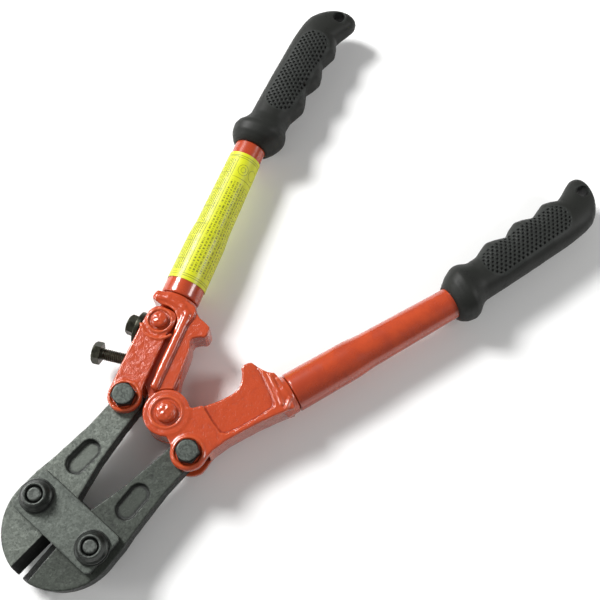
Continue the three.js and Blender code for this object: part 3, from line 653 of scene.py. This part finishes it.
def printed_film():
    """Yellow-green film with a dull olive print: a double border near each end, fine ruled rows
    of dashes on the outer side, broader rows on the inner side, and circle outlines near the
    grip. The surface's own map gives the share of a turn round the tube and a hundredth of the
    distance along it."""
    material, tree, shader, where = new_finish("printed_film", Specular_IOR_Level=0.5,
                                               Coat_Weight=0.12, Coat_Roughness=0.15)
    mapped = add_node(tree, "ShaderNodeUVMap", uv_map="around_along").outputs["UV"]
    split = add_node(tree, "ShaderNodeSeparateXYZ", {"Vector": mapped})
    around = arithmetic(tree, "MULTIPLY", split.outputs[0], 60.0)
    along = arithmetic(tree, "MULTIPLY", split.outputs[1], 100.0)

    def within(value, low, high):
        above = arithmetic(tree, "GREATER_THAN", value, low)
        return arithmetic(tree, "MULTIPLY", above, arithmetic(tree, "LESS_THAN", value, high))

    def ruled(value, pitch, thick):
        place = arithmetic(tree, "PINGPONG", value, pitch / 2)
        return arithmetic(tree, "LESS_THAN", place, thick / 2)

    def dashes(wide, tall, share):
        """Rows of dashes: a noise drawn out along the rows, cut at a level, between ruled gaps."""
        spot = add_node(tree, "ShaderNodeCombineXYZ",
                        {"X": arithmetic(tree, "DIVIDE", along, wide),
                         "Y": arithmetic(tree, "FLOOR", arithmetic(tree, "DIVIDE", around, tall))})
        words = add_node(tree, "ShaderNodeTexNoise", {"Vector": spot.outputs[0], "Scale": 1.0,
                                                      "Detail": 2.0}).outputs["Fac"]
        gap = arithmetic(tree, "SUBTRACT", 1.0, ruled(around, tall, 0.45 * tall))
        return arithmetic(tree, "MULTIPLY", gap, arithmetic(tree, "GREATER_THAN", words, share))

    start, end = LABEL
    length = end - start
    from_head = arithmetic(tree, "SUBTRACT", along, start)

    def ring_mark(spot_along, spot_around, radius):
        """A plain circle outline."""
        da = arithmetic(tree, "SUBTRACT", from_head, spot_along)
        dr = arithmetic(tree, "SUBTRACT", around, spot_around)
        away = arithmetic(tree, "SQRT", arithmetic(tree, "ADD", arithmetic(tree, "POWER", da, 2.0),
                                                   arithmetic(tree, "POWER", dr, 2.0)))
        return within(away, radius - 0.28, radius)

    inner_side = within(around, 29.5, 47)
    outer_side = within(around, 12, 28)
    text_rows = within(from_head, 5, 61)
    marks = [within(from_head, place - 0.17, place + 0.17)
             for place in (1.9, 3.0, length - 3.0, length - 1.9)]
    marks.append(arithmetic(tree, "MULTIPLY", within(from_head, 3, length - 3),
                            within(around, 28.5, 28.85)))
    marks.append(arithmetic(tree, "MULTIPLY", outer_side, ruled(from_head, 10.8, 0.35)))
    marks.append(arithmetic(tree, "MULTIPLY", arithmetic(tree, "MULTIPLY", outer_side, dashes(
        0.7, 1.2, 0.42)), within(from_head, 4.5, length - 4.5)))
    marks.append(arithmetic(tree, "MULTIPLY", arithmetic(tree, "MULTIPLY", inner_side, dashes(
        0.9, 1.75, 0.5)), text_rows))
    marks += [ring_mark(68.5, 34, 3.2), ring_mark(68.5, 34, 1.6), ring_mark(68.5, 41, 3.2)]
    marks.append(arithmetic(tree, "MULTIPLY", inner_side, within(from_head, 63.2, 63.5)))
    ink = marks[0]
    for mark in marks[1:]:
        ink = arithmetic(tree, "MAXIMUM", ink, mark)
    # the ink is worn away in patches by a fine noise
    mask_values = noise(tree, where, 0.5, 2.0)
    ink = arithmetic(tree, "MULTIPLY", ink, between(tree, mask_values, 0.3, 0.5, 0.35, 0.8))
    film = tint(tree, noise(tree, where, 9.0), (0.52, 0.56, 0.004), (0.64, 0.66, 0.008))
    colour = tint(tree, ink, film, (0.06, 0.06, 0.006))
    gloss = between(tree, noise(tree, where, 3.0), 0.3, 0.7, 0.42, 0.52)
    feed(tree, shader, colour, gloss, noise(tree, where, 6.0, 1.0), 0.15)
    return material


CASTING_PAINT = red_paint("casting_paint", 3.4, 0.2, 0.8, 0.8)
LINK_PAINT = red_paint("link_paint", 2.6, 0.32, 1.0, 0.9)
TUBE_PAINT = red_paint("tube_paint", 9.0, 0.08)
# the two jaws are a lighter and a darker copy of one phosphated steel: painted light and shade
LEFT_FORGING = phosphated_steel("left_jaw_forging", (0.104, 0.117, 0.100), (0.040, 0.048, 0.042))
RIGHT_FORGING = phosphated_steel("right_jaw_forging", (0.040, 0.047, 0.038), (0.012, 0.015, 0.012))
STRAP_STEEL = phosphated_steel("strap_steel", (0.084, 0.096, 0.083), (0.038, 0.045, 0.038))
BOLT_OXIDE = black_oxide("bolt_oxide", (0.010, 0.010, 0.009), (0.095, 0.108, 0.096))
NUT_OXIDE = black_oxide("nut_oxide", (0.022, 0.024, 0.022), (0.11, 0.12, 0.11))
SCREW_OXIDE = black_oxide("screw_oxide", (0.022, 0.022, 0.015), (0.05, 0.052, 0.04))
RUBBER = moulded_rubber()
FILM = printed_film()


# ---------------------------------------------------------------- castings
def collar(b, a, z, start=50.0):
    """Round root that the tube stands on: a bar along the handle up to just under the tube."""
    return slab(np.hypot(b - TUBE_B, z) - COLLAR_R, a, start, TUBE_START - 0.25, 1.1)


def jaw_boss(body, b, a, z):
    """A body with the raised ring round its jaw bolt."""
    return joined(body, disc(b, a, z, (PIVOT_ARM, 0), JAW_BOSS_R, RING_TOP, 0.6), 0.9)


def jaw_head_room(body, b, a, high):
    """A body with the shallow round room that its jaw bolt's head sits in."""
    room = slab(np.hypot(b - PIVOT_ARM, a) - JAW_HEAD_ROOM_R, high, JAW_HEAD_ROOM_FLOOR,
                OPEN_AIR, 0.4)
    return without(body, room, 0.6)


def right_head(b, a, z):
    """The right head: arm, knuckle, ear and raised rings joined by fillets, a sunk pocket in both
    faces, two cast ridges below the collar, and the slot that the other head's tongue and the
    jaw's tail turn in."""
    high = np.abs(z)
    body = slab(outline_distance(softened(RIGHT_ARM, 1), b, a), z, -EAR_TOP, EAR_TOP, 0.9)
    body = joined(body, disc(b, a, z, (0, 0), KNUCKLE_R, EAR_TOP, 0.9), 1.5)
    body = joined(body, disc(b, a, z, (PIVOT_ARM, 0), 8.8, EAR_TOP, 0.9), 1.0)
    pocket = outline_distance(softened(RIGHT_POCKET, 1), b, a)
    body = without(body, slab(pocket, high, 7.5, OPEN_AIR, 0.5), 0.9)
    body = joined(body, collar(b, a, z), 1.4)
    for points in (((9, 52.3), (18.6, 51.4), (24.4, 50.2)), ((12.7, 54.4), (24, 54.9), (27.2, 51))):
        for start, end in zip(points[:-1], points[1:]):
            ridge = np.hypot(np.maximum(stadium(b, a, start, end, 0), 0), high - 9.2) - 1.0
            body = joined(body, ridge, 0.7)
    body = joined(body, disc(b, a, z, (0, 0), 8.2, RING_TOP, 0.5), 0.8)
    body = jaw_boss(body, b, a, z)
    body = body - 0.05 * lumps(9.0, b, a, z) - 0.02 * lumps(3.6, a, z, b)
    body = without(body, slab(np.hypot(b, a) - 7.0, high, 9.55, OPEN_AIR, 0.3), 0.5)
    body = jaw_head_room(body, b, a, high)
    body = without(body, np.hypot(b - PIVOT_ARM, a) - 3.3, 0.2)
    opening = np.minimum(a - 4, np.hypot(b, a) - 11.9)
    opening = np.minimum(opening, np.hypot(b - PIVOT_ARM, a) - 9.6)
    return without(body, np.maximum(opening, high - SLOT_HALF), 0.5)


def left_head(b, a, z):
    """The left head: arm with its lower facet beside the inner edge, tongue and rail in the
    middle layer, and a bead that runs up the arm and bends over the link's rivet."""
    high = np.abs(z)
    body = slab(outline_distance(softened(LEFT_ARM, 1), b, a), z, -EAR_TOP, EAR_TOP, 0.9)
    facet = outline_distance(np.array(LEFT_FACET, float), b, a)
    body = without(body, slab(facet, high, 8.2, OPEN_AIR, 0.5), 1.0)
    body = joined(body, collar(b, a, z, 52.0), 1.4)
    bead = ((10.9, 10), (10.9, 49.2), (14.5, 52.2), (23, 54), (28.3, 52.8))
    for start, end in zip(bead[:-1], bead[1:]):
        rounded = np.hypot(np.maximum(stadium(b, a, start, end, 0.5), 0), high - 8.8) - 1.35
        body = joined(body, rounded, 0.9)
    body = body - 0.05 * lumps(9.0, a, b, z) - 0.02 * lumps(3.6, b, z, a)
    body = without(body, np.hypot(b, a) - 12.0, 0.5)
    body = without(body, np.hypot(b - PIVOT_ARM, a - LINK_PIVOT_A) - 8.5, 0.5)
    rail = slab(outline_distance(softened(LEFT_RAIL, 1), b, a), z, -JAW_HALF, JAW_HALF, 0.7)
    body = joined(body, rail, 0.5)
    body = joined(body, disc(b, a, z, (0, 0), 11.4, JAW_HALF, 0.7), 0.4)
    lock_hole = np.hypot(z, a - LOCK_A) - 2.8
    return without(body, np.where(b < LOCK_HOLE_END, lock_hole + 9, lock_hole), 0.3)


def link(b, a, z):
    """The adjusting link: two rough plates joined by a web on the outer side, a raised ring at
    each pivot, and a cast arc beside the ring at the rivet."""
    high = np.abs(z)
    from_rivet = np.hypot(b - PIVOT_ARM, a - LINK_PIVOT_A)
    body = slab(outline_distance(softened(LINK_PLATE), b, a), z, -EAR_TOP, EAR_TOP, 0.8)
    arc = np.hypot(from_rivet - 9.4, high - 9.2) - 0.7
    body = joined(body, np.maximum(arc, a - 37), 0.7)
    body = joined(body, disc(b, a, z, (PIVOT_ARM, LINK_PIVOT_A), 6.6, RING_TOP, 0.5), 0.8)
    body = jaw_boss(body, b, a, z)
    body = body - 0.08 * lumps(7.0, b, a, z) - 0.035 * lumps(2.7, z, b, a)
    body = without(body, slab(from_rivet - 5.4, high, 9.5, OPEN_AIR, 0.3), 0.5)
    body = jaw_head_room(body, b, a, high)
    channel = np.maximum(high - SLOT_HALF, -np.maximum(27.6 - b, 12 - a))
    body = without(body, channel, 0.5)
    tilt = math.radians(SCREW_TILT)
    across = (a - SCREW_SPOT[1]) * math.cos(tilt) + (b - SCREW_SPOT[0]) * math.sin(tilt)
    body = without(body, np.hypot(across, z) - 3.3, 0.3)
    return without(body, np.hypot(a - LOCK_A, z) - 3.1, 0.3)


COARSER = 1.0    # wider grids while trying things
CASTING_STEP = 0.42
net_piece("right_head_casting", right_head, (-14.5, -13.5, -12), (34, 60, 12), CASTING_STEP,
          "right_handle", CASTING_PAINT, ("right_handle_head",))
net_piece("left_head_casting", left_head, (-14.5, -13.5, -12), (34, 60, 12), CASTING_STEP,
          "left_handle", CASTING_PAINT, ("left_handle_head",), side=-1)
net_piece("adjusting_link_casting", link, (12, -10.5, -12), (33, 51.5, 12), CASTING_STEP,
          "adjusting_link", LINK_PAINT, ("adjusting_link",), side=-1)


# ---------------------------------------------------------------- jaws and straps
def jaw_outline():
    """Outline of a jaw in its closed place, x outward: the tail's round end, the inner edge, the
    cutting edge, the round nose and the outer edge, clockwise from the tail."""
    def closed(x, y):
        dx, dy = x - pin[0], y - pin[1]
        c, s = math.cos(JAW_OPEN), -math.sin(JAW_OPEN)
        return pin[0] + c * dx - s * dy, pin[1] + s * dx + c * dy

    def arc(centre, radius, start, end, count):
        t = np.linspace(start, end, count)
        return list(zip(centre[0] + radius * np.sin(t), centre[1] + radius * np.cos(t)))

    pin = (JAW_PIN - PIVOT)[:2]
    bolt = (JAW_BOLT - PIVOT)[:2]
    tail = closed(bolt[0] - TAIL_SHIFT, bolt[1])
    inner = [closed(*p) for p in ((10.9, -20), (8.4, -38.6), (4.4, -56), (1.6, -63))]
    outer = [closed(*p) for p in ((28.1, -60), (26.9, -52), (26, -41), (25, -28), (25.2, -14))]
    nose = arc((0, JAW_ARC_Y), JAW_ARC_R, math.pi - 0.004, math.pi / 2 - 0.1, 40)
    return np.array(arc(tail, TAIL_R, -0.1, -0.45 * math.pi, 10) + inner
                    + [(0.45, pin[1]), (EDGE_X, BEVEL_END)] + nose + outer
                    + arc(tail, TAIL_R, 0.42 * math.pi, 0.1, 10))


JAW_OUTLINE = jaw_outline()
OVAL_CLOSED = (OVAL["x"] + 0.96, OVAL["y"] + 0.05)
BEVEL_SLOPE = BEVEL_WIDTH / (JAW_HALF - 0.25)


def oval_distance(x, y):
    """Distance to the oval's rim in a jaw's closed place, negative inside."""
    middle_x, middle_y = OVAL_CLOSED
    return stadium(x, y, (middle_x, middle_y - OVAL["reach"]),
                   (middle_x, middle_y + OVAL["reach"]), OVAL["r"])


def bevel(x, y, z):
    """Distance to the ground wedge: how far a point is outward of the plane that rises from the
    cutting edge, below the bevel's upper end."""
    plane = (x - EDGE_X - (np.abs(z) - 0.25) * BEVEL_SLOPE) / math.hypot(1, BEVEL_SLOPE)
    return np.maximum(plane, y - BEVEL_END)


def jaw_field(side):
    """A jaw in its closed place: the outline's slab with rolled edges and a forged skin, cut by
    the ground bevels and by an oval pocket with a round-bottomed wall in each face."""
    def field(x, y, z):
        high = np.abs(z)
        body = slab(outline_distance(JAW_OUTLINE, x, y), z, -JAW_HALF, JAW_HALF, 0.55)
        body = body - 0.05 * lumps(6.0, x, y, z)
        depth = OVAL_DEPTH[side]
        pocket = slab(oval_distance(x, y), high, JAW_HALF - depth, OPEN_JAW, 0.9)
        body = without(body, pocket, 0.5)
        return np.maximum(body, -bevel(x, y, z))
    return field


def oval_floor(side):
    """1 on an oval's floor, 0 elsewhere."""
    def mask(x, y, z):
        inside = oval_distance(x, y) + 1.5
        low = np.abs(z) < JAW_HALF - OVAL_DEPTH[side] + 0.3
        return np.clip(-inside / 0.6, 0, 1) * low
    return mask


def wall_shade_mask(x, y, z):
    """1 on a jaw's side walls and on and just round the wall of its oval, 0 on its faces and
    floors. The forging's finish paints shade here."""
    inside = oval_distance(x, y)
    wall = np.clip(1.7 - 1.3 * np.abs(inside + 0.75), 0, 1) * (inside < 0.45)
    return np.maximum(np.clip((JAW_HALF - 0.1 - np.abs(z)) / 0.4, 0, 1) * (inside > 0), wall)


def bevel_mask(x, y, z):
    """1 on the ground bevels, 0 elsewhere."""
    return np.clip(1 - np.abs(bevel(x, y, z)) / 0.25, 0, 1) * (y < BEVEL_END)


def jaw_place(points, side):
    """From the closed place to where the jaw lies: mirrored for side -1, then opened about the
    jaw's centre bolt."""
    pin = JAW_PIN - PIVOT
    dx, dy = points[:, 0] - pin[0], points[:, 1] - pin[1]
    c, s = math.cos(JAW_OPEN), math.sin(JAW_OPEN)
    x = pin[0] + c * dx - s * dy
    y = pin[1] + s * dx + c * dy
    return np.stack([side * x, y, points[:, 2]], 1) + PIVOT


# the wall mask marks where the jaw's finish paints near-black shade
for side, word, steel in ((-1, "left", LEFT_FORGING), (1, "right", RIGHT_FORGING)):
    net_piece(f"{word}_jaw_forging", jaw_field(side), (-1.6, -100.6, -7), (31.4, 1.6, 7), 0.42,
              f"{word}_jaw", steel, (f"{word}_jaw",), side, jaw_place, 1.0,
              {"ground": bevel_mask, "floor": oval_floor(side), "wall": wall_shade_mask})


def strap_field(low, high):
    """A strap plate: the outline's slab with rolled edges and a faint hammered skin."""
    def field(x, y, z):
        body = slab(outline_distance(np.array(STRAP, float), x, y), z, low, high, 0.6)
        return body - 0.04 * lumps(5.0, x, y, z)
    return field


def beside(points, side):
    """From the handle pivot to the tool's own place, unturned."""
    return points + PIVOT


# the straps' wall mask marks their side walls, which the finish paints with near-black shade
for word, low, high in (("front", SLOT_HALF, STRAP_TOP), ("rear", -STRAP_TOP, -SLOT_HALF)):
    net_piece(f"{word}_strap", strap_field(low, high), (-26.5, -80.5, low - 1.5),
              (26.5, -55.2, high + 1.5), 0.45, "strap", STRAP_STEEL,
              (f"{word}_strap_plate",), 1, beside, 1.0,
              {"wall": lambda x, y, z: np.abs(np.abs(z) - 0.5 * (SLOT_HALF + STRAP_TOP)) < 1.75})


# ---------------------------------------------------------------- tubes, label and grips
def tube_axis(distance):
    """The tube's axis in b and a, and its turn inward: straight, then an arc, then straight."""
    bent = np.clip(distance - BEND_START, 0, None)
    turn = BEND_ANGLE * np.clip(bent / BEND_LENGTH, 0, 1)
    radius = BEND_LENGTH / BEND_ANGLE
    rest = np.clip(bent - BEND_LENGTH, 0, None)
    b = TUBE_B - radius * (1 - np.cos(turn)) - rest * np.sin(turn)
    a = np.minimum(distance, BEND_START) + radius * np.sin(turn) + rest * np.cos(turn)
    return b, a, turn


def along_tube(distance, radius):
    """Rings round the tube's axis at distances along it, each with its radius. The angle starts
    at the underside, so that the map's seam is out of sight."""
    angle = 2 * np.pi * np.arange(TUBE_SIDES) / TUBE_SIDES
    b, a, turn = (v[:, None] for v in tube_axis(distance))
    out = radius[:, None] * np.sin(angle)
    points = np.stack(np.broadcast_arrays(b + out * np.cos(turn), a + out * np.sin(turn),
                                          -radius[:, None] * np.cos(angle)), -1)
    return points.reshape(-1, 3)


def tube():
    """A tube's outer wall from the head into the grip, its start rolled in and both ends closed,
    with a faint unevenness of the paint."""
    along = np.concatenate([[58, 58, 58.05, 58.3, 58.8], np.arange(59.5, 165, 1.0), [165, 165]])
    radius = np.interp(along, SPLINE_KNOTS, TUBE_RADII)
    radius = np.convolve(np.pad(radius, 3, "edge"), np.ones(7) / 7, "valid")
    radius[:4] = (0, radius[1] - 0.7, radius[1] - 0.45, radius[1] - 0.12)
    radius[-1] = 0
    return along_tube(along, radius), grid_faces(len(along), TUBE_SIDES)


def label():
    """The film round the tube: a thin sleeve with a turned-in end at both sides. Its map is the
    share of a turn and a hundredth of the distance along."""
    lift, thick = 0.06, 0.25
    rows = np.arange(LABEL[0], LABEL[1] + 0.1, 1.0)
    along = np.concatenate([[rows[0]], rows, [rows[-1]], rows[::-1], [rows[0]]])
    above = np.concatenate([[lift], np.full(len(rows), lift + thick), [lift],
                            np.full(len(rows), lift), [lift]])
    radius = np.interp(along, SPLINE_KNOTS, TUBE_RADII) + above
    share = np.tile(np.arange(TUBE_SIDES) / TUBE_SIDES, len(along))
    return (along_tube(along, radius), grid_faces(len(along), TUBE_SIDES),
            np.stack([share, np.repeat(along / 100, TUBE_SIDES)], 1))


def grip_field(b, a, z):
    """A grip: superellipse sections whose inner and outer edges and half thickness follow smooth
    curves through the rows, closed at both ends, with a hang hole and with a patch of square pits,
    set like bricks, in each face."""
    place = np.linspace(GRIP_ROWS[0, 0], GRIP_ROWS[-1, 0], 396)
    inner, outer, half = (
        np.convolve(np.pad(np.interp(place, GRIP_ROWS[:, 0], GRIP_ROWS[:, k]), 4, "edge"),
                    np.hanning(11)[1:-1] / np.hanning(11).sum(), "valid") for k in (1, 2, 3))
    low, high_b, thick = (np.interp(a, place, v) for v in (inner, outer, half))
    middle, reach = (low + high_b) / 2, (high_b - low) / 2
    power = GRIP_SQUARENESS
    round_about = ((np.abs((b - middle) / reach) ** power + np.abs(z / thick) ** power)
                   ** (1 / power))
    body = (round_about - 1) * np.minimum(reach, thick)
    body = -joined(-body, -(GRIP_ROWS[0, 0] - a), 0.8)
    body = -joined(-body, -(a - GRIP_ROWS[-1, 0]), 2.5)
    start, end, radius = GRIP_PATCH
    run = np.subtract(end, start) / math.dist(start, end)
    along = (b - start[0]) * run[0] + (a - start[1]) * run[1]
    across = (b - start[0]) * run[1] - (a - start[1]) * run[0]
    row = np.round(across / PIT["across"])
    shift = along / PIT["along"] + 0.5 * (row % 2)
    du = np.abs(shift - np.round(shift)) * PIT["along"] - PIT["size"] / 2
    dv = np.abs(across - row * PIT["across"]) - PIT["size"] / 2
    pit = np.maximum(np.maximum(du, dv), stadium(b, a, start, end, radius) + 0.2)
    pit = np.maximum(pit, -(body + PIT["depth"]))
    body = without(body, np.where(np.abs(z) > 4, pit, 5.0), 0.25)
    at = HANG_HOLE
    hole = stadium(b, a, (at["b"], at["a"] - at["reach"]), (at["b"], at["a"] + at["reach"]),
                   at["r"])
    return without(body, hole, 1.2)


for side, word in ((-1, "left"), (1, "right")):
    points, faces = tube()
    make_piece(f"{word}_tube", on_handle(points, side), flipped(faces, side), f"{word}_handle",
               TUBE_PAINT, (f"{word}_handle_tube",), weld=True)
    net_piece(f"{word}_rubber_grip", grip_field, (-8, 149.5, -16), (35, 252, 16), 0.4,
              f"{word}_handle", RUBBER, (f"{word}_grip",), side)

points, faces, around_along = label()
make_piece("printed_label", on_handle(points, -1), flipped(faces, -1), "left_handle",
           FILM, ("tube_label",), uv=around_along, crease=40, weld=True)


# ---------------------------------------------------------------- bolts, nuts and rivets
def hexagon_head(flats, low, high, chamfer=0.9):
    """Profile of a hexagon head from its top in: flat end, round chamfer, and corner radius."""
    corner = flats / math.sqrt(3)
    flat_end = 0.5 * flats - 0.35
    return [(0, high), (flat_end, high), (corner, high - chamfer), (corner, low)]


def dome(radius, under, top, edge=0.7, rows=10):
    """Profile of a rivet's head from its crown: a cosine dome on a short round edge."""
    t = np.linspace(math.pi / 2, 0, rows)
    crown = list(zip(radius * np.cos(t) ** 0.75, under + edge + (top - under - edge) * np.sin(t)))
    return [(0, top)] + crown[1:] + [(radius, under)]


def mirrored(profile):
    """A half profile from the crown to the middle plane, followed by its reflection."""
    return profile + [(r, -z) for r, z in reversed(profile)]


def turn_axes(degrees, axes=UPRIGHT):
    """Three axes turned about the third."""
    c, s = math.cos(math.radians(degrees)), math.sin(math.radians(degrees))
    return np.array([[c, s, 0], [-s, c, 0], [0, 0, 1]]) @ axes


def at_pivot(b, a, side):
    """A point of the middle plane on a handle, in the tool's own place."""
    return on_handle(np.array([[b, a, 0.0]]), side)[0]


for side, word in ((-1, "left"), (1, "right")):
    spot = np.array([side * JAW_PIN[0], JAW_PIN[1], PIVOT[2]])
    bolt = rolled([(0, 16.0), (2.7, 16.1), (3.6, 15.4), (3.6, 10), (4.15, 9.9), (4.15, -10),
                   (8.66, -10), (8.66, -14.3), (7.2, -15), (0, -15)], 0.3)
    turned_piece(f"center_bolt_{word}_turned",
                 turned(bolt, hexagon=(15, -15, -9.99), thread=(1.25, 0.3, 10, 15.6)), spot,
                 turn_axes(12 * side), "strap", NUT_OXIDE, (f"center_bolt_{word}",),
                 tops=(16.0, 16.1))
    washer = rolled([(4.5, 10.0), (8.3, 10.0), (8.3, 11.1), (4.5, 11.1), (4.5, 10.0)], 0.25)
    turned_piece(f"center_washer_{word}_pressed", turned(washer), spot, UPRIGHT, "strap",
                 NUT_OXIDE, (f"center_washer_{word}",))
    nut = rolled([(3.8, 11.4), (7.8, 11.4), (7.8, 12.4), (6.6, 13.4), (5.7, 15.6), (5.2, 16.35),
                  (4.5, 16.35), (3.9, 15.5), (3.8, 11.4)], 0.35)
    turned_piece(f"center_nut_{word}_turned", turned(nut), spot, UPRIGHT, "strap", NUT_OXIDE,
                 (f"center_nut_{word}",), tops=(16.35,))

for side, word, body in ((-1, "left", "adjusting_link"), (1, "right", "right_handle")):
    spot = at_pivot(PIVOT_ARM, 0, side)
    bolt = rolled(hexagon_head(10.6, 9.7, 13.8) + [(3.1, 9.7), (3.1, -13.6), (2.7, -14), (0, -14)])
    turned_piece(f"{word}_jaw_bolt_forged",
                 turned(bolt, hexagon=(10.6, 9.69, 14), thread=(1.0, 0.3, -14, -9)), spot,
                 turn_axes(10 - 8 * side), body, BOLT_OXIDE, (f"{word}_jaw_bolt",), tops=(13.8,))
    nut = rolled([(3.2, -9.7), (6.12, -9.7), (6.12, -12.8), (5.0, -13.6), (3.4, -13.6),
                  (3.2, -13.3), (3.2, -9.7)])
    turned_piece(f"{word}_jaw_nut_forged", turned(nut, hexagon=(10.6, -13.61, -9.69)), spot,
                 turn_axes(20), body, BOLT_OXIDE, (f"{word}_jaw_nut",), tops=(-13.6,))

rivet = mirrored(dome(5.3, 9.7, 13.0) + [(4.0, 9.7)])
turned_piece("pivot_rivet_domed", turned(rivet, dimples=0.34), PIVOT, UPRIGHT, "right_handle",
             CASTING_PAINT, ("pivot_rivet",), 60)
rivet = mirrored(dome(4.0, 10.4, 12.8) + [(3.0, 10.4)])
turned_piece("link_rivet_domed", turned(rivet, dimples=0.22),
             at_pivot(PIVOT_ARM, LINK_PIVOT_A, -1), UPRIGHT, "left_handle",
             CASTING_PAINT, ("link_rivet",), 60)


def across_handle(tilt):
    """Axes of a bolt that lies across the left handle, its own axis outward and tilted down the
    handle by some degrees."""
    zero = on_handle(np.zeros((1, 3)), -1)[0]
    outward = on_handle(np.array([[1.0, 0, 0]]), -1)[0] - zero
    upward = on_handle(np.array([[0, 1.0, 0]]), -1)[0] - zero
    t = math.radians(tilt)
    axis = math.cos(t) * outward - math.sin(t) * upward
    up = np.array([0, 0, 1.0])
    return np.array([np.cross(up, axis), up, axis])


def side_bolt(radius, under, height, flats, pitch):
    """Profile and pattern of a bolt from its tip to its hexagon head."""
    high = under + height
    corner = flats / math.sqrt(3)
    profile = [(0, 0), (radius - 0.6, 0), (radius, 0.6), (radius, under), (corner, under),
               (corner, high - 0.9), (0.5 * flats - 0.3, high), (0, high)]
    return turned(rolled(profile), hexagon=(flats, under - 0.01, high + 1),
                  thread=(pitch, 0.45 * pitch, 0.2, under - 0.5))


turned_piece("adjusting_screw_threaded", side_bolt(3, 23.7, 4.3, 10, 1.0),
             at_pivot(*SCREW_SPOT, -1), turn_axes(18, across_handle(SCREW_TILT)), "adjusting_screw",
             SCREW_OXIDE, ("adjusting_screw",), tops=(28.0,))
turned_piece("lock_bolt_threaded", side_bolt(2.5, 9.0, 5.0, 9.4, 0.8), at_pivot(*LOCK_SPOT, -1),
             turn_axes(4, across_handle(0)), "lock_bolt", SCREW_OXIDE, ("lock_bolt",),
             tops=(14.0,))
washer = rolled([(2.8, 6.3), (8.5, 6.3), (8.5, 8.7), (2.8, 8.7), (2.8, 6.3)], 0.35)
turned_piece("lock_washer_pressed", turned(washer), at_pivot(*LOCK_SPOT, -1), across_handle(0),
             "lock_bolt", SCREW_OXIDE, ("lock_washer",))


# ---------------------------------------------------------------- floor, light and camera
def studio_floor():
    """A plain pale floor under the tool."""
    mesh = bpy.data.meshes.new("studio_floor")
    reach = 1.6
    mesh.from_pydata([(-reach, -reach, 0), (reach, -reach, 0), (reach, reach, 0),
                      (-reach, reach, 0)], [], [(0, 1, 2, 3)])
    material, tree, shader, where = new_finish("floor_paper", Roughness=0.75,
                                               Specular_IOR_Level=0.2)
    shade = tint(tree, noise(tree, where, 60.0, 1.0), (0.90, 0.90, 0.89), (0.92, 0.92, 0.915))
    feed(tree, shader, shade)
    mesh.materials.append(material)
    floor = bpy.data.objects.new("studio_floor", mesh)
    bpy.context.scene.collection.objects.link(floor)


AIM = (PIVOT + (8.97, 88.21, 0.0)) * MM
AZIMUTH, ELEVATION, ROLL = math.radians(40.53), math.radians(69.75), math.radians(0.17)
DISTANCE = 0.50389
FACING = (Matrix.Rotation(AZIMUTH, 3, "Z") @ Matrix.Rotation(math.pi / 2 - ELEVATION, 3, "X")
          @ Matrix.Rotation(ROLL, 3, "Z"))


def place_camera():
    """A camera that stands back from the tool's middle along its own view."""
    camera = bpy.data.cameras.new("camera")
    camera.lens, camera.sensor_width = 59.17, 36.0
    camera.clip_end = 20
    holder = bpy.data.objects.new("camera", camera)
    back = np.array(FACING)[:, 2]
    holder.matrix_world = Matrix.LocRotScale(AIM + DISTANCE * back, FACING.to_quaternion(), None)
    bpy.context.scene.collection.objects.link(holder)
    bpy.context.scene.camera = holder


def soft_light(name, right, up, back, size, energy):
    """A square light that looks at the tool's middle from a place given to the right of, above
    and behind it as the camera sees it, in metres."""
    light = bpy.data.lights.new(name, "AREA")
    light.shape, light.size, light.energy = "SQUARE", size, energy
    holder = bpy.data.objects.new(name, light)
    offset = np.array(FACING) @ np.array([right, up, back])
    place = AIM + offset
    toward = FACING.to_quaternion()
    turn = (toward @ Vector((0, 0, 1))).rotation_difference(Vector(offset))
    holder.matrix_world = Matrix.LocRotScale(place, turn @ toward, None)
    bpy.context.scene.collection.objects.link(holder)


studio_floor()
place_camera()
soft_light("key_softbox", -0.8, 0.95, 0.65, 0.4, 27)
soft_light("side_softbox", -1.3, -0.1, 0.45, 0.3, 5)
soft_light("fill_softbox", 1.1, 0.25, 0.7, 0.35, 6)
world = bpy.data.worlds.new("studio")
world.use_nodes = True
world.node_tree.nodes["Background"].inputs["Color"].default_value = (1, 1, 1, 1)
world.node_tree.nodes["Background"].inputs["Strength"].default_value = 0.25
bpy.context.scene.world = world
bpy.context.scene.view_settings.view_transform = "Standard"
